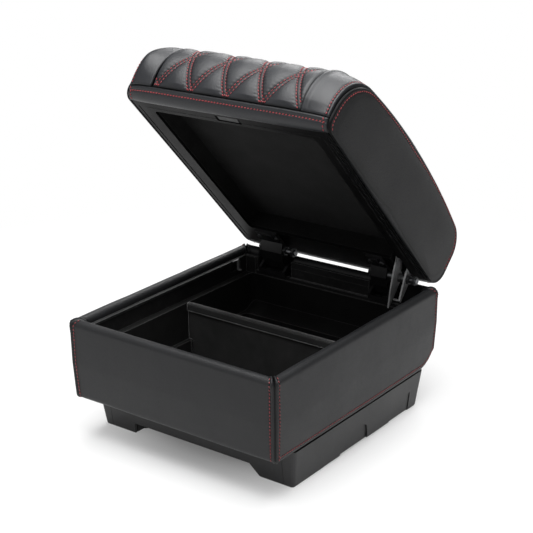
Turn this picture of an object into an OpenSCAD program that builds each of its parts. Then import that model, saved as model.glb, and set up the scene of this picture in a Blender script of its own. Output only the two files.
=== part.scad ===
// Centre armrest box for a car: a leather-covered console on a moulded base,
// with a divided bin and a quilted lid on two gooseneck hinges.
// X is the width, Y runs to the rear (hinge) side, Z is up. The origin is the
// centre of the four floor bolts. The lid is drawn closed, then turned open.

/* [Console body] */
// Width over the side covers at the top
body_w = 260; // [240:1:280]
// Depth over the front and rear covers at the top
body_d = 292.4; // [280:0.2:310]
// Height of the covers' lower edge above the floor
body_bottom = 42; // [40:1:50]
// Height of the padded top edge above the floor
body_top = 127.6; // [122:0.2:136]
// How far each side cover leans in at the bottom
lean_x = 2.3; // [0:0.1:2.5]
// How far the front and rear covers lean in at the bottom
lean_y = 2.3; // [0:0.1:2.5]
// Thickness of leather and foam at the top of a wall
cover_t = 5.5; // [4.5:0.1:6]
// Width of the padded roll along the top of each wall
roll_w = 12.6; // [11:0.2:13.4]
// Radius of the lower front corner seen from the side
front_corner_r = 6; // [4:1:14]
// Radius of the lower rear corner seen from the side
rear_corner_r = 34; // [24:1:36]

/* [Carrier and rim] */
// Wall thickness of the hidden carrier box
carrier_t = 7; // [6:0.5:8]
// Thickness of the plastic rim frame
rim_t = 3; // [2:0.5:3.5]
// Height of the rim frame
rim_h = 20; // [16:1:22]
// Wall thickness of the bin liner
liner_t = 2.5; // [2:0.5:3]
// Width of the ledge beside the bin
bin_ledge = 7.3; // [6:0.1:9]
// How far the bin's lower well steps in at the sides
well_inset = 5; // [4:0.5:8]
// Height of the bin's top edge above the floor
bin_top = 100; // [98:0.5:101]
// Height of the bin's inside floor
bin_floor = 27; // [24:1:34]
// Inside corner radius of the bin
bin_r = 6; // [3:1:10]
// Place of the divider, rearwards from the middle
divider_y = 15.4; // [-40:0.2:40]
// Thickness of the divider's wall
divider_t = 4; // [3:0.5:5]

/* [Base] */
// How far each side of the base stands in from the body, at the floor
base_inset_x = 8.5; // [7:0.5:16]
// How far the base stands in at the front and rear, on average
base_inset_y = 33; // [30:0.5:36]
// How far the base lies behind the middle
base_y = 5.1; // [0:0.1:8]
// How far the skirts flare out towards the top
base_flare = 5; // [3:0.5:6]
// Thickness of the skirts
skirt_t = 3; // [2.5:0.5:4]
// Height of the raised front edge between the feet
toe_gap = 12; // [6:1:14]
// Width of the raised front edge
toe_w = 149; // [130:1:156]
// How far the raised edge stands off the middle
toe_shift = 4.5; // [0:0.5:6]
// Distance of the floor bolts from the base's sides
bolt_inset_x = 36.5; // [31:0.5:40]
// Distance of the floor bolts from the base's ends
bolt_inset_y = 28.2; // [26:0.2:36]
// Radius of a floor bolt hole
bolt_r = 4.5; // [3.5:0.1:5.5]

/* [Lid] */
// How far the lid's front lip overhangs the body
lid_lip = 14.8; // [10:0.2:18]
// How far the lid's rear end stays inside the body's rear
lid_rear_inset = 3.3; // [2.4:0.1:6]
// Height of the lid at its side seams
lid_h = 78; // [72:1:84]
// How far each side panel stays inside the body's side
lid_inset = 4; // [2:0.5:8]
// How far the side panels bulge
side_bulge = 4.5; // [3:0.5:5]
// Rise of the padded top over the side seams
crown_h = 11; // [6:1:12]
// Share of that rise at the front and rear seams
crown_end = 0.45; // [0.3:0.05:1]
// Length over which the rise builds up behind each seam
crown_run = 55; // [40:5:80]
// Gap between the closed lid and the console
lid_gap = 1; // [0.6:0.1:2]
// Depth of the recess under the lid
recess_d = 22; // [16:1:24]
// Width of the pan's rim beside the recess
pan_rim_w = 20.5; // [18:0.5:26]
// Radius of the lid's front brow
brow_r = 48.7; // [44:0.1:52]
// Radius of the lid's rear end
tail_r = 26.4; // [24:0.1:30]
// Radius of the lid's lower front edge
nose_r = 10; // [8:0.5:12]
// Radius of the lid's lower rear edge
heel_r = 22; // [20:0.5:24]
// Wall thickness of the lid pan
pan_t = 2.5; // [2:0.25:3]
// Wall thickness of the lid's core
core_t = 3; // [2.5:0.5:4]
// Thickness of the foam over the core
foam_t = 10.6; // [8:0.2:12]

/* [Quilting] */
// Width of the plain strip beside the quilting
strip_w = 31; // [24:0.1:32]
// Length of one diamond
diamond_l = 88; // [80:1:96]
// Diamonds across the panel
diamonds_across = 4; // [4:1:4]
// Plain margin beside the outer diamonds
quilt_margin = 3; // [2:0.5:4]
// Height of a diamond's pillow
puff_h = 2.4; // [1.5:0.1:4.5]

/* [Hinge] */
// How far the lid stands open
open_angle = 47; // [0:1:60]
// Distance of the hinge pins from the body's rear
hinge_inset = 8.2; // [7.8:0.1:9.2]
// Distance of the hinge pins under the body's top
hinge_drop = 14.6; // [13.6:0.1:16.6]
// Radius of the hinge pins
pin_r = 2.5; // [2:0.1:2.8]
// Radial clearance of the pins
pin_clear = 0.05; // [0.02:0.01:0.1]
// Radius of the arms' barrels
barrel_r = 4; // [3.6:0.1:4.2]
// Width of the left hinge arm
arm_w_left = 29; // [24:1:30]
// Width of the right hinge arm
arm_w_right = 20; // [16:1:22]
// Distance of the left hinge's middle from the body's side
hinge_side_left = 54.5; // [54:0.5:58]
// Distance of the right hinge's middle from the body's side
hinge_side_right = 63; // [62:0.5:66]
// Radius of the bolts through the arms
cross_r = 3.2; // [2.5:0.1:3.6]

/* [Hidden] */

eps = 0.01;
seat = 0.3;                       // running gap beside soft pieces
fine = 48;                        // facets asked of a round shape
far = 400;                        // past everything, for cutters
half_w = body_w / 2;
half_d = body_d / 2;
base_w = body_w - 2 * base_inset_x;
base_d = body_d - 2 * base_inset_y;
pitch_x = base_w - 2 * bolt_inset_x;
pitch_y = base_d - 2 * bolt_inset_y;
lid_front = half_d + lid_lip;
lid_rear = half_d - lid_rear_inset;
lid_w = body_w - 2 * lid_inset;
hinge_y = half_d - hinge_inset;
hinge_z = body_top - hinge_drop;
carrier_w = body_w - 2 * cover_t;
carrier_d = body_d - 2 * cover_t;
carrier_z = body_bottom + cover_t;
roll_r = roll_w / 2;
carrier_top = body_top - roll_r - 2.3;
rim_w = carrier_w - 2 * carrier_t - 0.4;
rim_d = carrier_d - 2 * carrier_t - 0.4;
rim_top = bin_top + rim_h;
bin_front = -rim_d / 2 + 9;
bin_rear = rim_d / 2 - rim_t - 1.9;
bin_d = bin_rear - bin_front;
bin_w = rim_w - 2 * (rim_t + bin_ledge);
well_w = bin_w - 2 * well_inset;
bin_in = cover_t + carrier_t + 0.4;      // the bin's underside, from the body's outside
bin_step = body_bottom + bin_in + liner_t;
bin_y = (bin_rear + bin_front) / 2;
well_d = base_d - 2 * skirt_t - 10;
base_top = body_bottom - 1.5;
pocket_back = hinge_y + barrel_r + 0.6;
black = "#1b1b1c";
leather = "#3a3b3d";
plastic = "#2a2b2d";
steel = "#55585c";
suede = "#141415";

// Lid profile in the (y, v) plane, v being the height over the lid's underside
lid_z = body_top + lid_gap;
brow = [-lid_front + brow_r, nose_r + 10];
crest_y = 4;
// The long top arc touches the brow arc from outside
crest_r = (pow(crest_y - brow[0], 2) + pow(lid_h - brow[1], 2) - brow_r * brow_r)
          / (2 * (lid_h - brow[1] - brow_r));
tail = [lid_rear - tail_r, lid_h - tail_r - 8.4];
seam_rear = heel_r + 2;
brow_end = 90 + atan((crest_y - brow[0]) / (crest_r - lid_h + brow[1]));
tail_start = 90 - atan((tail[0] - crest_y) / (crest_r - lid_h + tail[1]));

function on_arc(c, r, a) = [c[0] + r * cos(a), c[1] + r * sin(a), cos(a), sin(a)];
// Points of the run from the front seam over the top to the rear seam, as
// [y, v, normal y, normal v], for a length t along the profile
len_a = brow[1] - nose_r;
len_b = brow_r * PI / 180 * (180 - brow_end);
len_c = crest_r * PI / 180 * (brow_end - tail_start);
len_d = tail_r * PI / 180 * tail_start;
len_e = tail[1] - seam_rear;
run_len = len_a + len_b + len_c + len_d + len_e;
function run_point(t) =
    t < len_a ? [-lid_front, nose_r + t, -1, 0] :
    t < len_a + len_b ? on_arc(brow, brow_r, 180 - (t - len_a) / brow_r * 180 / PI) :
    t < len_a + len_b + len_c
        ? on_arc([crest_y, lid_h - crest_r], crest_r, brow_end - (t - len_a - len_b) / crest_r * 180 / PI) :
    t < len_a + len_b + len_c + len_d
        ? on_arc(tail, tail_r, tail_start - (t - len_a - len_b - len_c) / tail_r * 180 / PI) :
    [lid_rear, max(seam_rear, tail[1] - (t - len_a - len_b - len_c - len_d)), 1, 0];
function nose_point(a) = on_arc([-lid_front + nose_r, nose_r], nose_r, a);
function heel_point(a) = on_arc([lid_rear - heel_r, heel_r], heel_r, a);
// Whole outline of the lid, pushed in by d
function outline(d, n = 60) = [
    for (i = [0:n]) let (p = run_point(run_len * i / n)) [p[0] - d * p[2], p[1] - d * p[3]],
    for (a = [0:-15:-90]) let (p = heel_point(a)) [p[0] - d * p[2], p[1] - d * p[3]],
    for (a = [-90:-15:-165]) let (p = nose_point(a)) [p[0] - d * p[2], p[1] - d * p[3]]];
side_back = lid_w / 2 - side_bulge;      // plane of the side panels' backs
quilt_half = side_back - 0.5 - seat - strip_w;
diamond_w = 2 * (quilt_half - quilt_margin) / diamonds_across;
// Rise of the padded surface over the profile at a distance x from the middle
inner_d = 2;                      // thickness of a pad inside the lid's outline
foam_gap = inner_d + 0.7;
function crown(x, t = 0) = let (in_from_seam = min(t, run_len - t, crown_run))
    crown_h * (crown_end + (1 - crown_end) * sin(90 * in_from_seam / crown_run))
    * (1 - pow(abs(x) / (lid_w / 2 - 2), 8));
// Height of the quilted pillows: zero on the stitched lines of the lattice
function puff(x, t) = let (a = x / diamond_w + t / diamond_l, b = x / diamond_w - t / diamond_l)
    puff_h * pow(abs(sin(180 * a) * sin(180 * b)), 0.6);

// A box given by its lowest and highest corner
module block(low, high) { translate(low) cube(high - low); }

// Extrudes a shape drawn in the (y, z) plane along X, from x0 to x1
module along_x(x0, x1) {
    translate([x0, 0, 0]) rotate([90, 0, 90]) linear_extrude(x1 - x0) children();
}

// Extrudes a shape drawn in the (x, z) plane along Y, from y0 to y1
module along_y(y0, y1) {
    translate([0, y1, 0]) rotate([90, 0, 0]) linear_extrude(y1 - y0) children();
}

module rounded(w, d, r) {
    square([w - 2 * r, d], center = true);
    square([w, d - 2 * r], center = true);
    for (x = [-1, 1], y = [-1, 1]) translate([x * (w / 2 - r), y * (d / 2 - r)]) circle(r, $fn = fine);
}

// A rounded tray wall: outer size w by d, wall t, from z0 to z1
module ring(w, d, r, t, z0, z1) {
    translate([0, 0, z0]) linear_extrude(z1 - z0) difference() {
        rounded(w, d, r);
        rounded(w - 2 * t, d - 2 * t, max(0.6, r - t));
    }
}

// Console seen from the side, pushed in by d: its lower corners are round
module side_profile(d) {
    rf = max(front_corner_r - d, 1);
    rr = rear_corner_r - d;
    y0 = -half_d + d;
    y1 = half_d - d;
    z0 = body_bottom + d;
    polygon([for (a = [180:10:270]) [y0 + rf + rf * cos(a), z0 + rf + rf * sin(a)],
             for (a = [270:6:360]) [y1 - rr + rr * cos(a), z0 + rr + rr * sin(a)],
             [y1, body_top + 5], [y0, body_top + 5]]);
}

// Cross-section of a cover, n being the distance from the middle of the body
module wall_section(half, lean) {
    z0 = body_bottom;
    inner = half - cover_t;
    top_c = body_top - roll_r;
    polygon([[half - lean - 9, z0], [half - lean - 3, z0],
             for (a = [-80:20:-20]) [half - lean - 3 + 3 * cos(a), z0 + 3 + 3 * sin(a)],
             [half - lean / 2 + 0.8, (z0 + top_c) / 2],
             for (a = [0:12:180]) [half - roll_r + roll_r * cos(a), top_c + roll_r * sin(a)],
             [half - roll_w, carrier_top - 3], [inner - carrier_t, carrier_top - 3],
             [inner - carrier_t, carrier_top], [inner, carrier_top], [inner, z0 + cover_t],
             [half - lean - 9, z0 + cover_t]]);
}

// The space that belongs to the front and rear covers, with mitred corners
module end_space() {
    big = half_d + 20;
    w = carrier_w / 2;
    d = carrier_d / 2;
    for (s = [-1, 1]) {
        linear_extrude(carrier_top) scale([1, s]) polygon([[-w, 40], [w, 40], [w, d],
            [w + big - d, big], [-w - big + d, big], [-w, d]]);
        translate([0, 0, carrier_top]) linear_extrude(40) scale([1, s]) polygon([
            [w - 40, d - 40], [w + big - d, big], [-w - big + d, big], [-w + 40, d - 40]]);
    }
}

module end_cover(s) {
    intersection() {
        end_space();
        scale([1, s, 1]) along_x(-half_w - 5, half_w + 5) intersection() {
            wall_section(half_d, lean_y);
            scale([s, 1]) side_profile(0);
        }
    }
}

module rear_skin() {
    // Curved lower part of the rear cover, between the flat face and the tuck
    y0 = base_y + well_d / 2 + liner_t + 1.5;
    along_x(-carrier_w / 2, carrier_w / 2) difference() {
        intersection() {
            side_profile(0.7);
            translate([y0, body_bottom - 5]) square([half_d, rear_corner_r + 5]);
        }
        side_profile(cover_t);
    }
}

module cover_front() {
    color(leather) end_cover(-1);
}

module cover_rear() {
    color(leather) difference() {
        union() {
            intersection() {
                end_cover(1);
                block([-far, 0, body_bottom + rear_corner_r], [far, far, far]);
            }
            rear_skin();
        }
        hinge_pockets();
    }
}

module side_cover(s) {
    color(leather) difference() {
        scale([s, 1, 1]) intersection() {
            along_y(-half_d - 5, half_d + 5) wall_section(half_w, lean_x);
            along_x(0, half_w + 5) side_profile(0);
        }
        end_space();
    }
}

module cover_left() { side_cover(-1); }
module cover_right() { side_cover(1); }

// Room in the rear wall for the hinge barrels. On the right it takes the stay too
module hinge_pockets() {
    for (s = [-1, 1]) scale([s, 1, 1])
        block([trim_half + 1, rim_d / 2 - rim_t - 8, hinge_z - 10],
              [s > 0 ? rim_w / 2 - rim_t : pocket_left, pocket_back, body_top + 5]);
}

module carrier_box() {
    opening_w = well_w + 2 * liner_t + 4;
    opening_d = well_d + 2 * liner_t + 4;
    color(black) difference() {
        along_x(-carrier_w / 2, carrier_w / 2) intersection() {
            side_profile(cover_t);
            translate([-half_d, carrier_z]) square([body_d, carrier_top - carrier_z]);
        }
        along_x(-carrier_w / 2 + carrier_t, carrier_w / 2 - carrier_t) side_profile(cover_t + carrier_t);
        translate([0, base_y, 0]) linear_extrude(body_top) rounded(opening_w, opening_d, bin_r + 4);
        hinge_pockets();
        for (p = base_screw_places()) translate([p[0], p[1], 0]) cylinder(r = 1.7, h = 60, $fn = fine);
    }
}

module rim_frame() {
    notch_w = 54;
    color(plastic) difference() {
        union() {
            ring(rim_w, rim_d, 4, rim_t, bin_top, rim_top);
            // Ledge along the top of both side walls, and the floor lip at the bin
            for (s = [-1, 1]) scale([s, 1, 1])
                block([rim_w / 2 - rim_t - 1.2, -rim_d / 2 + 8, rim_top - 2.2],
                      [rim_w / 2 - rim_t + eps, rim_d / 2 - 36, rim_top]);
            // Corner posts at the rear
            for (s = [-1, 1]) scale([s, 1, 1])
                block([101, rim_d / 2 - rim_t - 2.4, bin_top], [rim_w / 2 - 2, rim_d / 2 - 0.6, rim_top - 0.6]);
            block([-rim_w / 2 + 2, rim_d / 2 - rim_t - 1.6, bin_top],
                  [rim_w / 2 - 2, rim_d / 2 - rim_t + 0.5, bin_top + 4.4]);
        }
        // Keeper notch in the front side
        block([-notch_w / 2, -rim_d / 2 - 1, rim_top - 6], [notch_w / 2, -rim_d / 2 + rim_t + 1, rim_top + 1]);
        // Window for the clip in the left side
        block([-rim_w / 2 - 1, rim_d / 2 - 34, rim_top - 13], [-rim_w / 2 + rim_t + 2, rim_d / 2 - 16, rim_top - 4]);
        // Open behind the trim and at the hinges
        block([-pocket_left, rim_d / 2 - rim_t - 9, bin_top + 5], [rim_w / 2 - rim_t, rim_d / 2 + 2, rim_top + 1]);
    }
}

module rear_trim() {
    face_y = rim_d / 2 - rim_t - 0.3;
    color(plastic) difference() {
        block([-trim_half, face_y, bin_top + 5.2], [trim_half, rim_d / 2 + 0.1, carrier_top - 3.3]);
        block([-trim_half + 3, face_y + 2, bin_top + 4], [trim_half - 3, rim_d / 2 + 1, carrier_top - 6.3]);
    }
    color(plastic)
        block([-trim_half, face_y + 0.1, carrier_top - 3.3], [trim_half, half_d - roll_w - seat, body_top - 4.4]);
}

// The bin above its step: it is rounded in plan and follows the body's side outline
module upper_bin(w, d, r, inset, top) {
    intersection() {
        translate([0, bin_y, body_bottom]) linear_extrude(top - body_bottom) rounded(w, d, r);
        along_x(-half_w, half_w) side_profile(inset);
    }
}

module bin_liner() {
    w = bin_w + 2 * liner_t;
    d = bin_d + 2 * liner_t;
    color(suede) difference() {
        union() {
            translate([0, base_y, bin_floor - liner_t]) linear_extrude(bin_step - bin_floor + liner_t)
                rounded(well_w + 2 * liner_t, well_d + 2 * liner_t, bin_r + liner_t);
            upper_bin(w, d, bin_r + liner_t, bin_in, bin_top - 0.2);
            translate([0, 0, bin_top - liner_t]) linear_extrude(liner_t - 0.2) rounded(rim_w, rim_d, 4);
        }
        translate([0, base_y, bin_floor]) linear_extrude(bin_top) rounded(well_w, well_d, bin_r);
        upper_bin(bin_w, bin_d, bin_r, bin_in + liner_t, body_top);
    }
    // Guide ribs that hold the divider, two at each side
    for (s = [-1, 1], g = [-1, 1]) color(suede) scale([s, 1, 1])
        block([well_w / 2 - 1.4, divider_y + g * (divider_t / 2 + 1.3) - 0.9, bin_floor - 1],
              [well_w / 2 + 1, divider_y + g * (divider_t / 2 + 1.3) + 0.9, bin_step]);
}

module divider() {
    top_h = 9;
    lip = 1.4;
    bead = 2.5;
    color(suede) {
        along_x(-well_w / 2 + 0.4, well_w / 2 - 0.4) translate([divider_y - divider_t / 2, bin_floor + 0.3])
            square([divider_t, bin_step - bin_floor + 1]);
        along_x(-bin_w / 2 + 0.4, bin_w / 2 - 0.4) translate([divider_y, 0]) {
            translate([-divider_t / 2, bin_step + 0.3]) square([divider_t, bin_top - bin_step - top_h]);
            translate([-divider_t / 2 - lip, bin_top - top_h]) square([divider_t + 2 * lip, top_h - bead]);
            translate([0, bin_top - bead]) for (y = [-1, 1]) translate([y * 0.9, 0]) circle(bead, $fn = fine);
        }
    }
}

module rail_clip() {
    x = -rim_w / 2 + rim_t + 0.05;
    y = rim_d / 2 - 23;
    color(steel) {
        block([x, y, rim_top - 13.5], [x + 1.2, y + 3, rim_top - 0.5]);
        block([x, y, rim_top - 13.5], [x + 5, y + 3, rim_top - 12.3]);
        block([x, y - 8, rim_top - 1.7], [x + 1.2, y + 3, rim_top - 0.5]);
    }
}

module keeper_plate() {
    y = -rim_d / 2;
    color(steel) difference() {
        block([-26, y + 0.3, rim_top - 6], [26, y + 2.3, rim_top - 1.5]);
        block([-9, y - 1, rim_top - 4.6], [9, y + 4, rim_top - 2.8]);
    }
}

// Solid outer form of the base, pushed in by d: it flares towards the top. The
// form that hollows it out runs past both ends
module base_form(d, past = 0) {
    w = base_w - 2 * d;
    depth = base_d - 2 * d;
    f = 2 * base_flare;
    translate([0, base_y, 0]) hull() {
        translate([0, 0, -past]) linear_extrude(eps) rounded_poly(w - 1.6, depth - 1.6, 3);
        translate([0, 0, 1.2]) linear_extrude(eps) rounded_poly(w, depth, 4);
        translate([0, 0, base_top + past - eps]) linear_extrude(eps) rounded_poly(w + f, depth + f, 5);
    }
}

module rounded_poly(w, d, r) {
    polygon([for (q = [0:3], i = [0:4]) let (a = 90 * q + 22.5 * i)
        [(q == 0 || q == 3 ? 1 : -1) * (w / 2 - r) + r * cos(a),
         (q < 2 ? 1 : -1) * (d / 2 - r) + r * sin(a)]]);
}

module skirt_shell() {
    difference() {
        base_form(0);
        base_form(skirt_t, 1);
    }
}

module skirt(s) {
    seam_x = base_w / 2 - 11;
    y0 = base_y - base_d / 2;
    y1 = base_y + base_d / 2;
    face = base_w / 2;
    color(plastic) difference() {
        intersection() {
            skirt_shell();
            scale([s, 1, 1]) union() {
                block([seam_x, -far, 0], [far, far, base_top]);
            }
        }
        // Raised lower edge between the feet
        scale([s, 1, 1]) block([face - 20, y0 + 52, -1], [face + 20, y1 - 20, 0.8]);
        // Arched recess and the step behind it
        scale([s, 1, 1]) intersection() {
            along_x(face - 30, face + 30) polygon([[-30, -1], [-24, 11], [-17, 18], [-8, 21.5], [10, 21.5],
                [17, 17], [20, 9], [21, -1]]);
            difference() {
                base_form(-1);
                base_form(1.6);
            }
        }
        scale([s, 1, 1]) intersection() {
            along_x(face - 30, face + 30) polygon([[62, -1], [66, 22], [100, 22], [100, -1]]);
            difference() {
                base_form(-1);
                base_form(0.9);
            }
        }
    }
}

module skirt_left() { skirt(-1); }
module skirt_right() { skirt(1); }

module valance(s, gap, w) {
    seam_x = base_w / 2 - 11.2;
    slope = 13;
    color(plastic) difference() {
        intersection() {
            skirt_shell();
            scale([1, s, 1]) block([-seam_x, 0, 0], [seam_x, far, base_top]);
            block([-far, -far, 0], [far, far, far]);
        }
        along_y(-far, far) polygon([[-w / 2 - toe_shift - 1, -1], [-w / 2 - toe_shift, gap],
            [w / 2 - toe_shift, gap], [w / 2 - toe_shift + slope, -1]]);
        // Clear of the side walls of the skirts
        for (x = [-1, 1]) scale([x, 1, 1])
            along_y(base_y - base_d / 2 + skirt_t + 1, base_y + base_d / 2 - skirt_t - 1)
            polygon([[seam_x - 1, -1], [far, -1], [far, far], [seam_x - 1, far]]);
    }
}

module valance_front() { valance(-1, toe_gap, toe_w); }
module valance_rear() { valance(1, toe_gap * 0.6, toe_w); }

function base_screw_places() = [for (x = [-1, 1], y = [-1:1])
    [x * (base_w / 2 - 8), base_y + y * (base_d / 2 - 28)]];

module base_frame() {
    w = base_w - 2 * skirt_t - 1;
    d = base_d - 2 * skirt_t - 1;
    px = pitch_x / 2;
    py = pitch_y / 2;
    rail_top = carrier_z;
    rail_w = 8;
    front_y = base_y - d / 2;
    foot_x = -toe_w / 2 - toe_shift;
    color(black) difference() {
        union() {
            // Plate, set back behind the raised front edge, with the wall of the foot there
            difference() {
                translate([0, base_y, 3]) linear_extrude(3) rounded(w, d, 6);
                block([foot_x - 1.5, front_y - 1, 0], [toe_w / 2 - toe_shift + 13, front_y + 20, 9]);
            }
            block([foot_x - 3, front_y + 0.3, 0.4], [foot_x - 0.3, front_y + 12, toe_gap]);
            for (x = [-1, 1]) scale([x, 1, 1]) block([w / 2 - rail_w - 0.5, base_y - d / 2 + 12, 5],
                                                     [w / 2 - 0.5, base_y + d / 2 - 12, rail_top]);
            for (y = [-1, 1]) block([-w / 2 + 7, base_y + y * (d / 2 - 14) - 2, 5],
                                    [w / 2 - 7, base_y + y * (d / 2 - 14) + 2, bin_floor - liner_t]);
            for (x = [-1:1]) block([x * 48 - 1.5, base_y - d / 2 + 13, 5],
                                   [x * 48 + 1.5, base_y + d / 2 - 13, bin_floor - liner_t]);
            for (x = [-1, 1], y = [-1, 1]) translate([x * px, y * py, 0]) cylinder(r = 11, h = 14, $fn = fine);
        }
        for (x = [-1, 1], y = [-1, 1]) translate([x * px, y * py, -1]) cylinder(r = bolt_r, h = 20, $fn = fine);
        for (q = base_screw_places()) translate([q[0], q[1], -1]) {
            cylinder(r = 2.2, h = 60, $fn = fine);
            cylinder(r = 3.6, h = 21, $fn = fine);
        }
    }
}

module base_screws() {
    color(steel) for (q = base_screw_places()) translate([q[0], q[1], 0]) {
        translate([0, 0, 16]) cylinder(r = 3.2, h = 4, $fn = fine);
        translate([0, 0, 18]) cylinder(r = 1.7, h = carrier_z + carrier_t - 18.5, $fn = fine);
    }
}

// Hinge pieces, drawn about the pin with the lid closed
module at_pin() { translate([0, hinge_y, hinge_z]) children(); }

function hinge_x(s) = half_w - (s < 0 ? hinge_side_left : hinge_side_right);
function arm_w(s) = s < 0 ? arm_w_left : arm_w_right;
// Inner and outer side of an arm, from the centre
function arm_in(s) = hinge_x(s) - arm_w(s) / 2;
function arm_out(s) = hinge_x(s) + arm_w(s) / 2;
cheek_gap = 0.5;
cheek_t = 3;
trim_half = arm_in(1) - cheek_gap - cheek_t - 1.5;
pocket_left = arm_out(-1) + cheek_gap + cheek_t + 5.5;
foot_low = -8;
foot_top = -5.4;
foot_front = -13;
foot_screw_y = -7;

module bracket(s) {
    x0 = arm_in(s) - cheek_gap;
    x1 = arm_out(s) + cheek_gap;
    back = barrel_r + 0.4;
    color(black) at_pin() scale([s, 1, 1]) difference() {
        union() {
            for (x = [x0 - cheek_t, x1]) along_x(x, x + cheek_t)
                polygon([[foot_front, foot_low], [back, foot_low], [back, 2.4], [2, 4.6], [-5, 4.6],
                         [foot_front, -1.5]]);
            block([x0 - cheek_t, foot_front, foot_low], [x1 + cheek_t, back, foot_top]);
            block([x0 - cheek_t, foot_front, foot_low], [x1 + cheek_t, foot_front + 2, foot_top + 1.9]);
        }
        rotate([0, 90, 0]) cylinder(r = pin_r + pin_clear, h = far, center = true, $fn = fine);
        for (x = foot_screws(s)) translate([x, foot_screw_y, foot_low - 2]) cylinder(r = 1.7, h = 8, $fn = fine);
    }
}

function foot_screws(s) = [arm_in(s) + 5, arm_out(s) - 5];

module bracket_left() { bracket(-1); }
module bracket_right() { bracket(1); }

module bracket_screws() {
    color(steel) at_pin() for (s = [-1, 1], x = foot_screws(s)) translate([s * x, foot_screw_y, 0]) {
        translate([0, 0, foot_top]) cylinder(r = 3, h = 0.9, $fn = fine);
        translate([0, 0, foot_low]) cylinder(r = 1.6, h = 3, $fn = fine);
    }
}

module hinge_pins() {
    color(steel) at_pin() for (s = [-1, 1]) scale([s, 1, 1]) {
        x0 = arm_in(s) - cheek_gap - cheek_t;
        x1 = arm_out(s) + cheek_gap + cheek_t;
        translate([x0 - 0.3, 0, 0]) rotate([0, 90, 0]) cylinder(r = pin_r, h = x1 - x0 + 0.3, $fn = fine);
        translate([x1, 0, 0]) rotate([0, 90, 0]) cylinder(r = pin_r + 1, h = 2.2, $fn = fine);
    }
}

// Turns a closed-lid piece about the pins to where the lid stands open
module lid_pose() {
    translate([0, hinge_y, hinge_z]) rotate([-open_angle, 0, 0]) translate([0, -hinge_y, -hinge_z]) children();
}

cross_at = [-21.5, 9.2];
flange_top = lid_z - hinge_z - 0.1;

flange_t2 = 3.2;
flange_end = -50;
pad_h = 1;

module arm(s) {
    x = hinge_x(s);
    w = arm_w(s);
    color(black) lid_pose() at_pin() scale([s, 1, 1]) difference() {
        union() {
            along_x(arm_in(s), arm_out(s)) union() {
                circle(barrel_r, $fn = fine);
                polygon([[0, -barrel_r], [-14, -2], [-24, 3], [-31, flange_top - flange_t2],
                         [flange_end, flange_top - flange_t2], [flange_end, flange_top],
                         [-17, flange_top], [-13.5, 11], [-8.5, 6], [0, barrel_r]]);
            }
            // Raised pad on the flange
            block([x - w / 2 + 6.2, flange_end + 3, flange_top - flange_t2 - pad_h],
                  [x + w / 2 - 6.2, flange_end + 16, flange_top - flange_t2 + 0.2]);
        }
        rotate([0, 90, 0]) cylinder(r = pin_r + pin_clear, h = far, center = true, $fn = fine);
        translate([0, cross_at[0], cross_at[1]]) rotate([0, 90, 0])
            cylinder(r = cross_r + pin_clear, h = far, center = true, $fn = fine);
        for (x = flange_screws(s)) translate([x, flange_screw_y, 0]) cylinder(r = 1.6, h = 30, $fn = fine);
    }
}

flange_screw_y = -40.5;
function flange_screws(s) = [arm_in(s) + 3, arm_out(s) - 3];

module arm_left() { arm(-1); }
module arm_right() { arm(1); }

module arm_screws() {
    color(steel) lid_pose() at_pin() for (s = [-1, 1], x = flange_screws(s))
        translate([s * x, flange_screw_y, flange_top]) {
            translate([0, 0, -flange_t2 - 1.4]) cylinder(r = 2.7, h = 1.4, $fn = fine);
            translate([0, 0, -flange_t2]) cylinder(r = 1.5, h = flange_t2 + 2, $fn = fine);
        }
}

blade_x = rim_w / 2 - rim_t - 26.3;
blade_t = 1.6;
plate_x = blade_x + 10.4;
plate_t = 1.8;
nut_t = 3;

module nut(x) { translate([x, 0, 0]) rotate([0, 90, 0]) cylinder(r = 5.4, h = nut_t, $fn = 6); }

module cross_bolts() {
    left_in = arm_in(-1) - 16;
    left_end = arm_out(-1) + nut_t + 1.5;
    right_in = arm_in(1) - nut_t - 1.5;
    right_end = rim_w / 2 - rim_t - 2.6;
    color(steel) lid_pose() at_pin() translate([0, cross_at[0], cross_at[1]]) {
        translate([-left_end, 0, 0]) rotate([0, 90, 0]) cylinder(r = cross_r, h = left_end - left_in, $fn = fine);
        translate([right_in, 0, 0]) rotate([0, 90, 0]) cylinder(r = cross_r, h = right_end - right_in, $fn = fine);
        nut(-arm_out(-1) - nut_t - 0.1);
        nut(-arm_in(-1) + 0.1);
        nut(-left_in - nut_t - 2);
        nut(right_in + 1.4);
        nut(plate_x + plate_t + 0.1);
        nut(right_end - nut_t - 1);
        // Spacer between the right arm and the blade
        translate([arm_out(1) + 0.1, 0, 0]) rotate([0, 90, 0])
            cylinder(r = cross_r + 1.5, h = blade_x - arm_out(1) - 0.2, $fn = fine);
    }
}

module stay_blade() {
    color(steel) lid_pose() at_pin() difference() {
        along_x(blade_x, blade_x + blade_t) polygon([[-46.4, 30], [-40, 17], [-34, 5], [-26.5, -8], [-14.5, -25],
            [-14, -16], [-14.6, -4], [-16, 6], [-20, 16], [-29, 24], [-40, 29]]);
        translate([0, cross_at[0], cross_at[1]]) rotate([0, 90, 0])
            cylinder(r = cross_r + pin_clear, h = far, center = true, $fn = fine);
    }
}

module stay_plate() {
    color(steel) lid_pose() at_pin() difference() {
        union() {
            along_x(plate_x, plate_x + plate_t) polygon([[-31.2, 25.5], [-29.5, 14], [-26, 4], [-17.4, -15.5],
                [-14.4, -15.5], [-15, -2], [-15.5, 10], [-20, 17]]);
            along_x(plate_x - 7, plate_x + 1) polygon([[-17.4, -15.5], [-14.4, -15.5], [-14.4, -13.7], [-16.8, -13.7]]);
        }
        translate([0, cross_at[0], cross_at[1]]) rotate([0, 90, 0])
            cylinder(r = cross_r + pin_clear, h = far, center = true, $fn = fine);
    }
}

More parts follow.
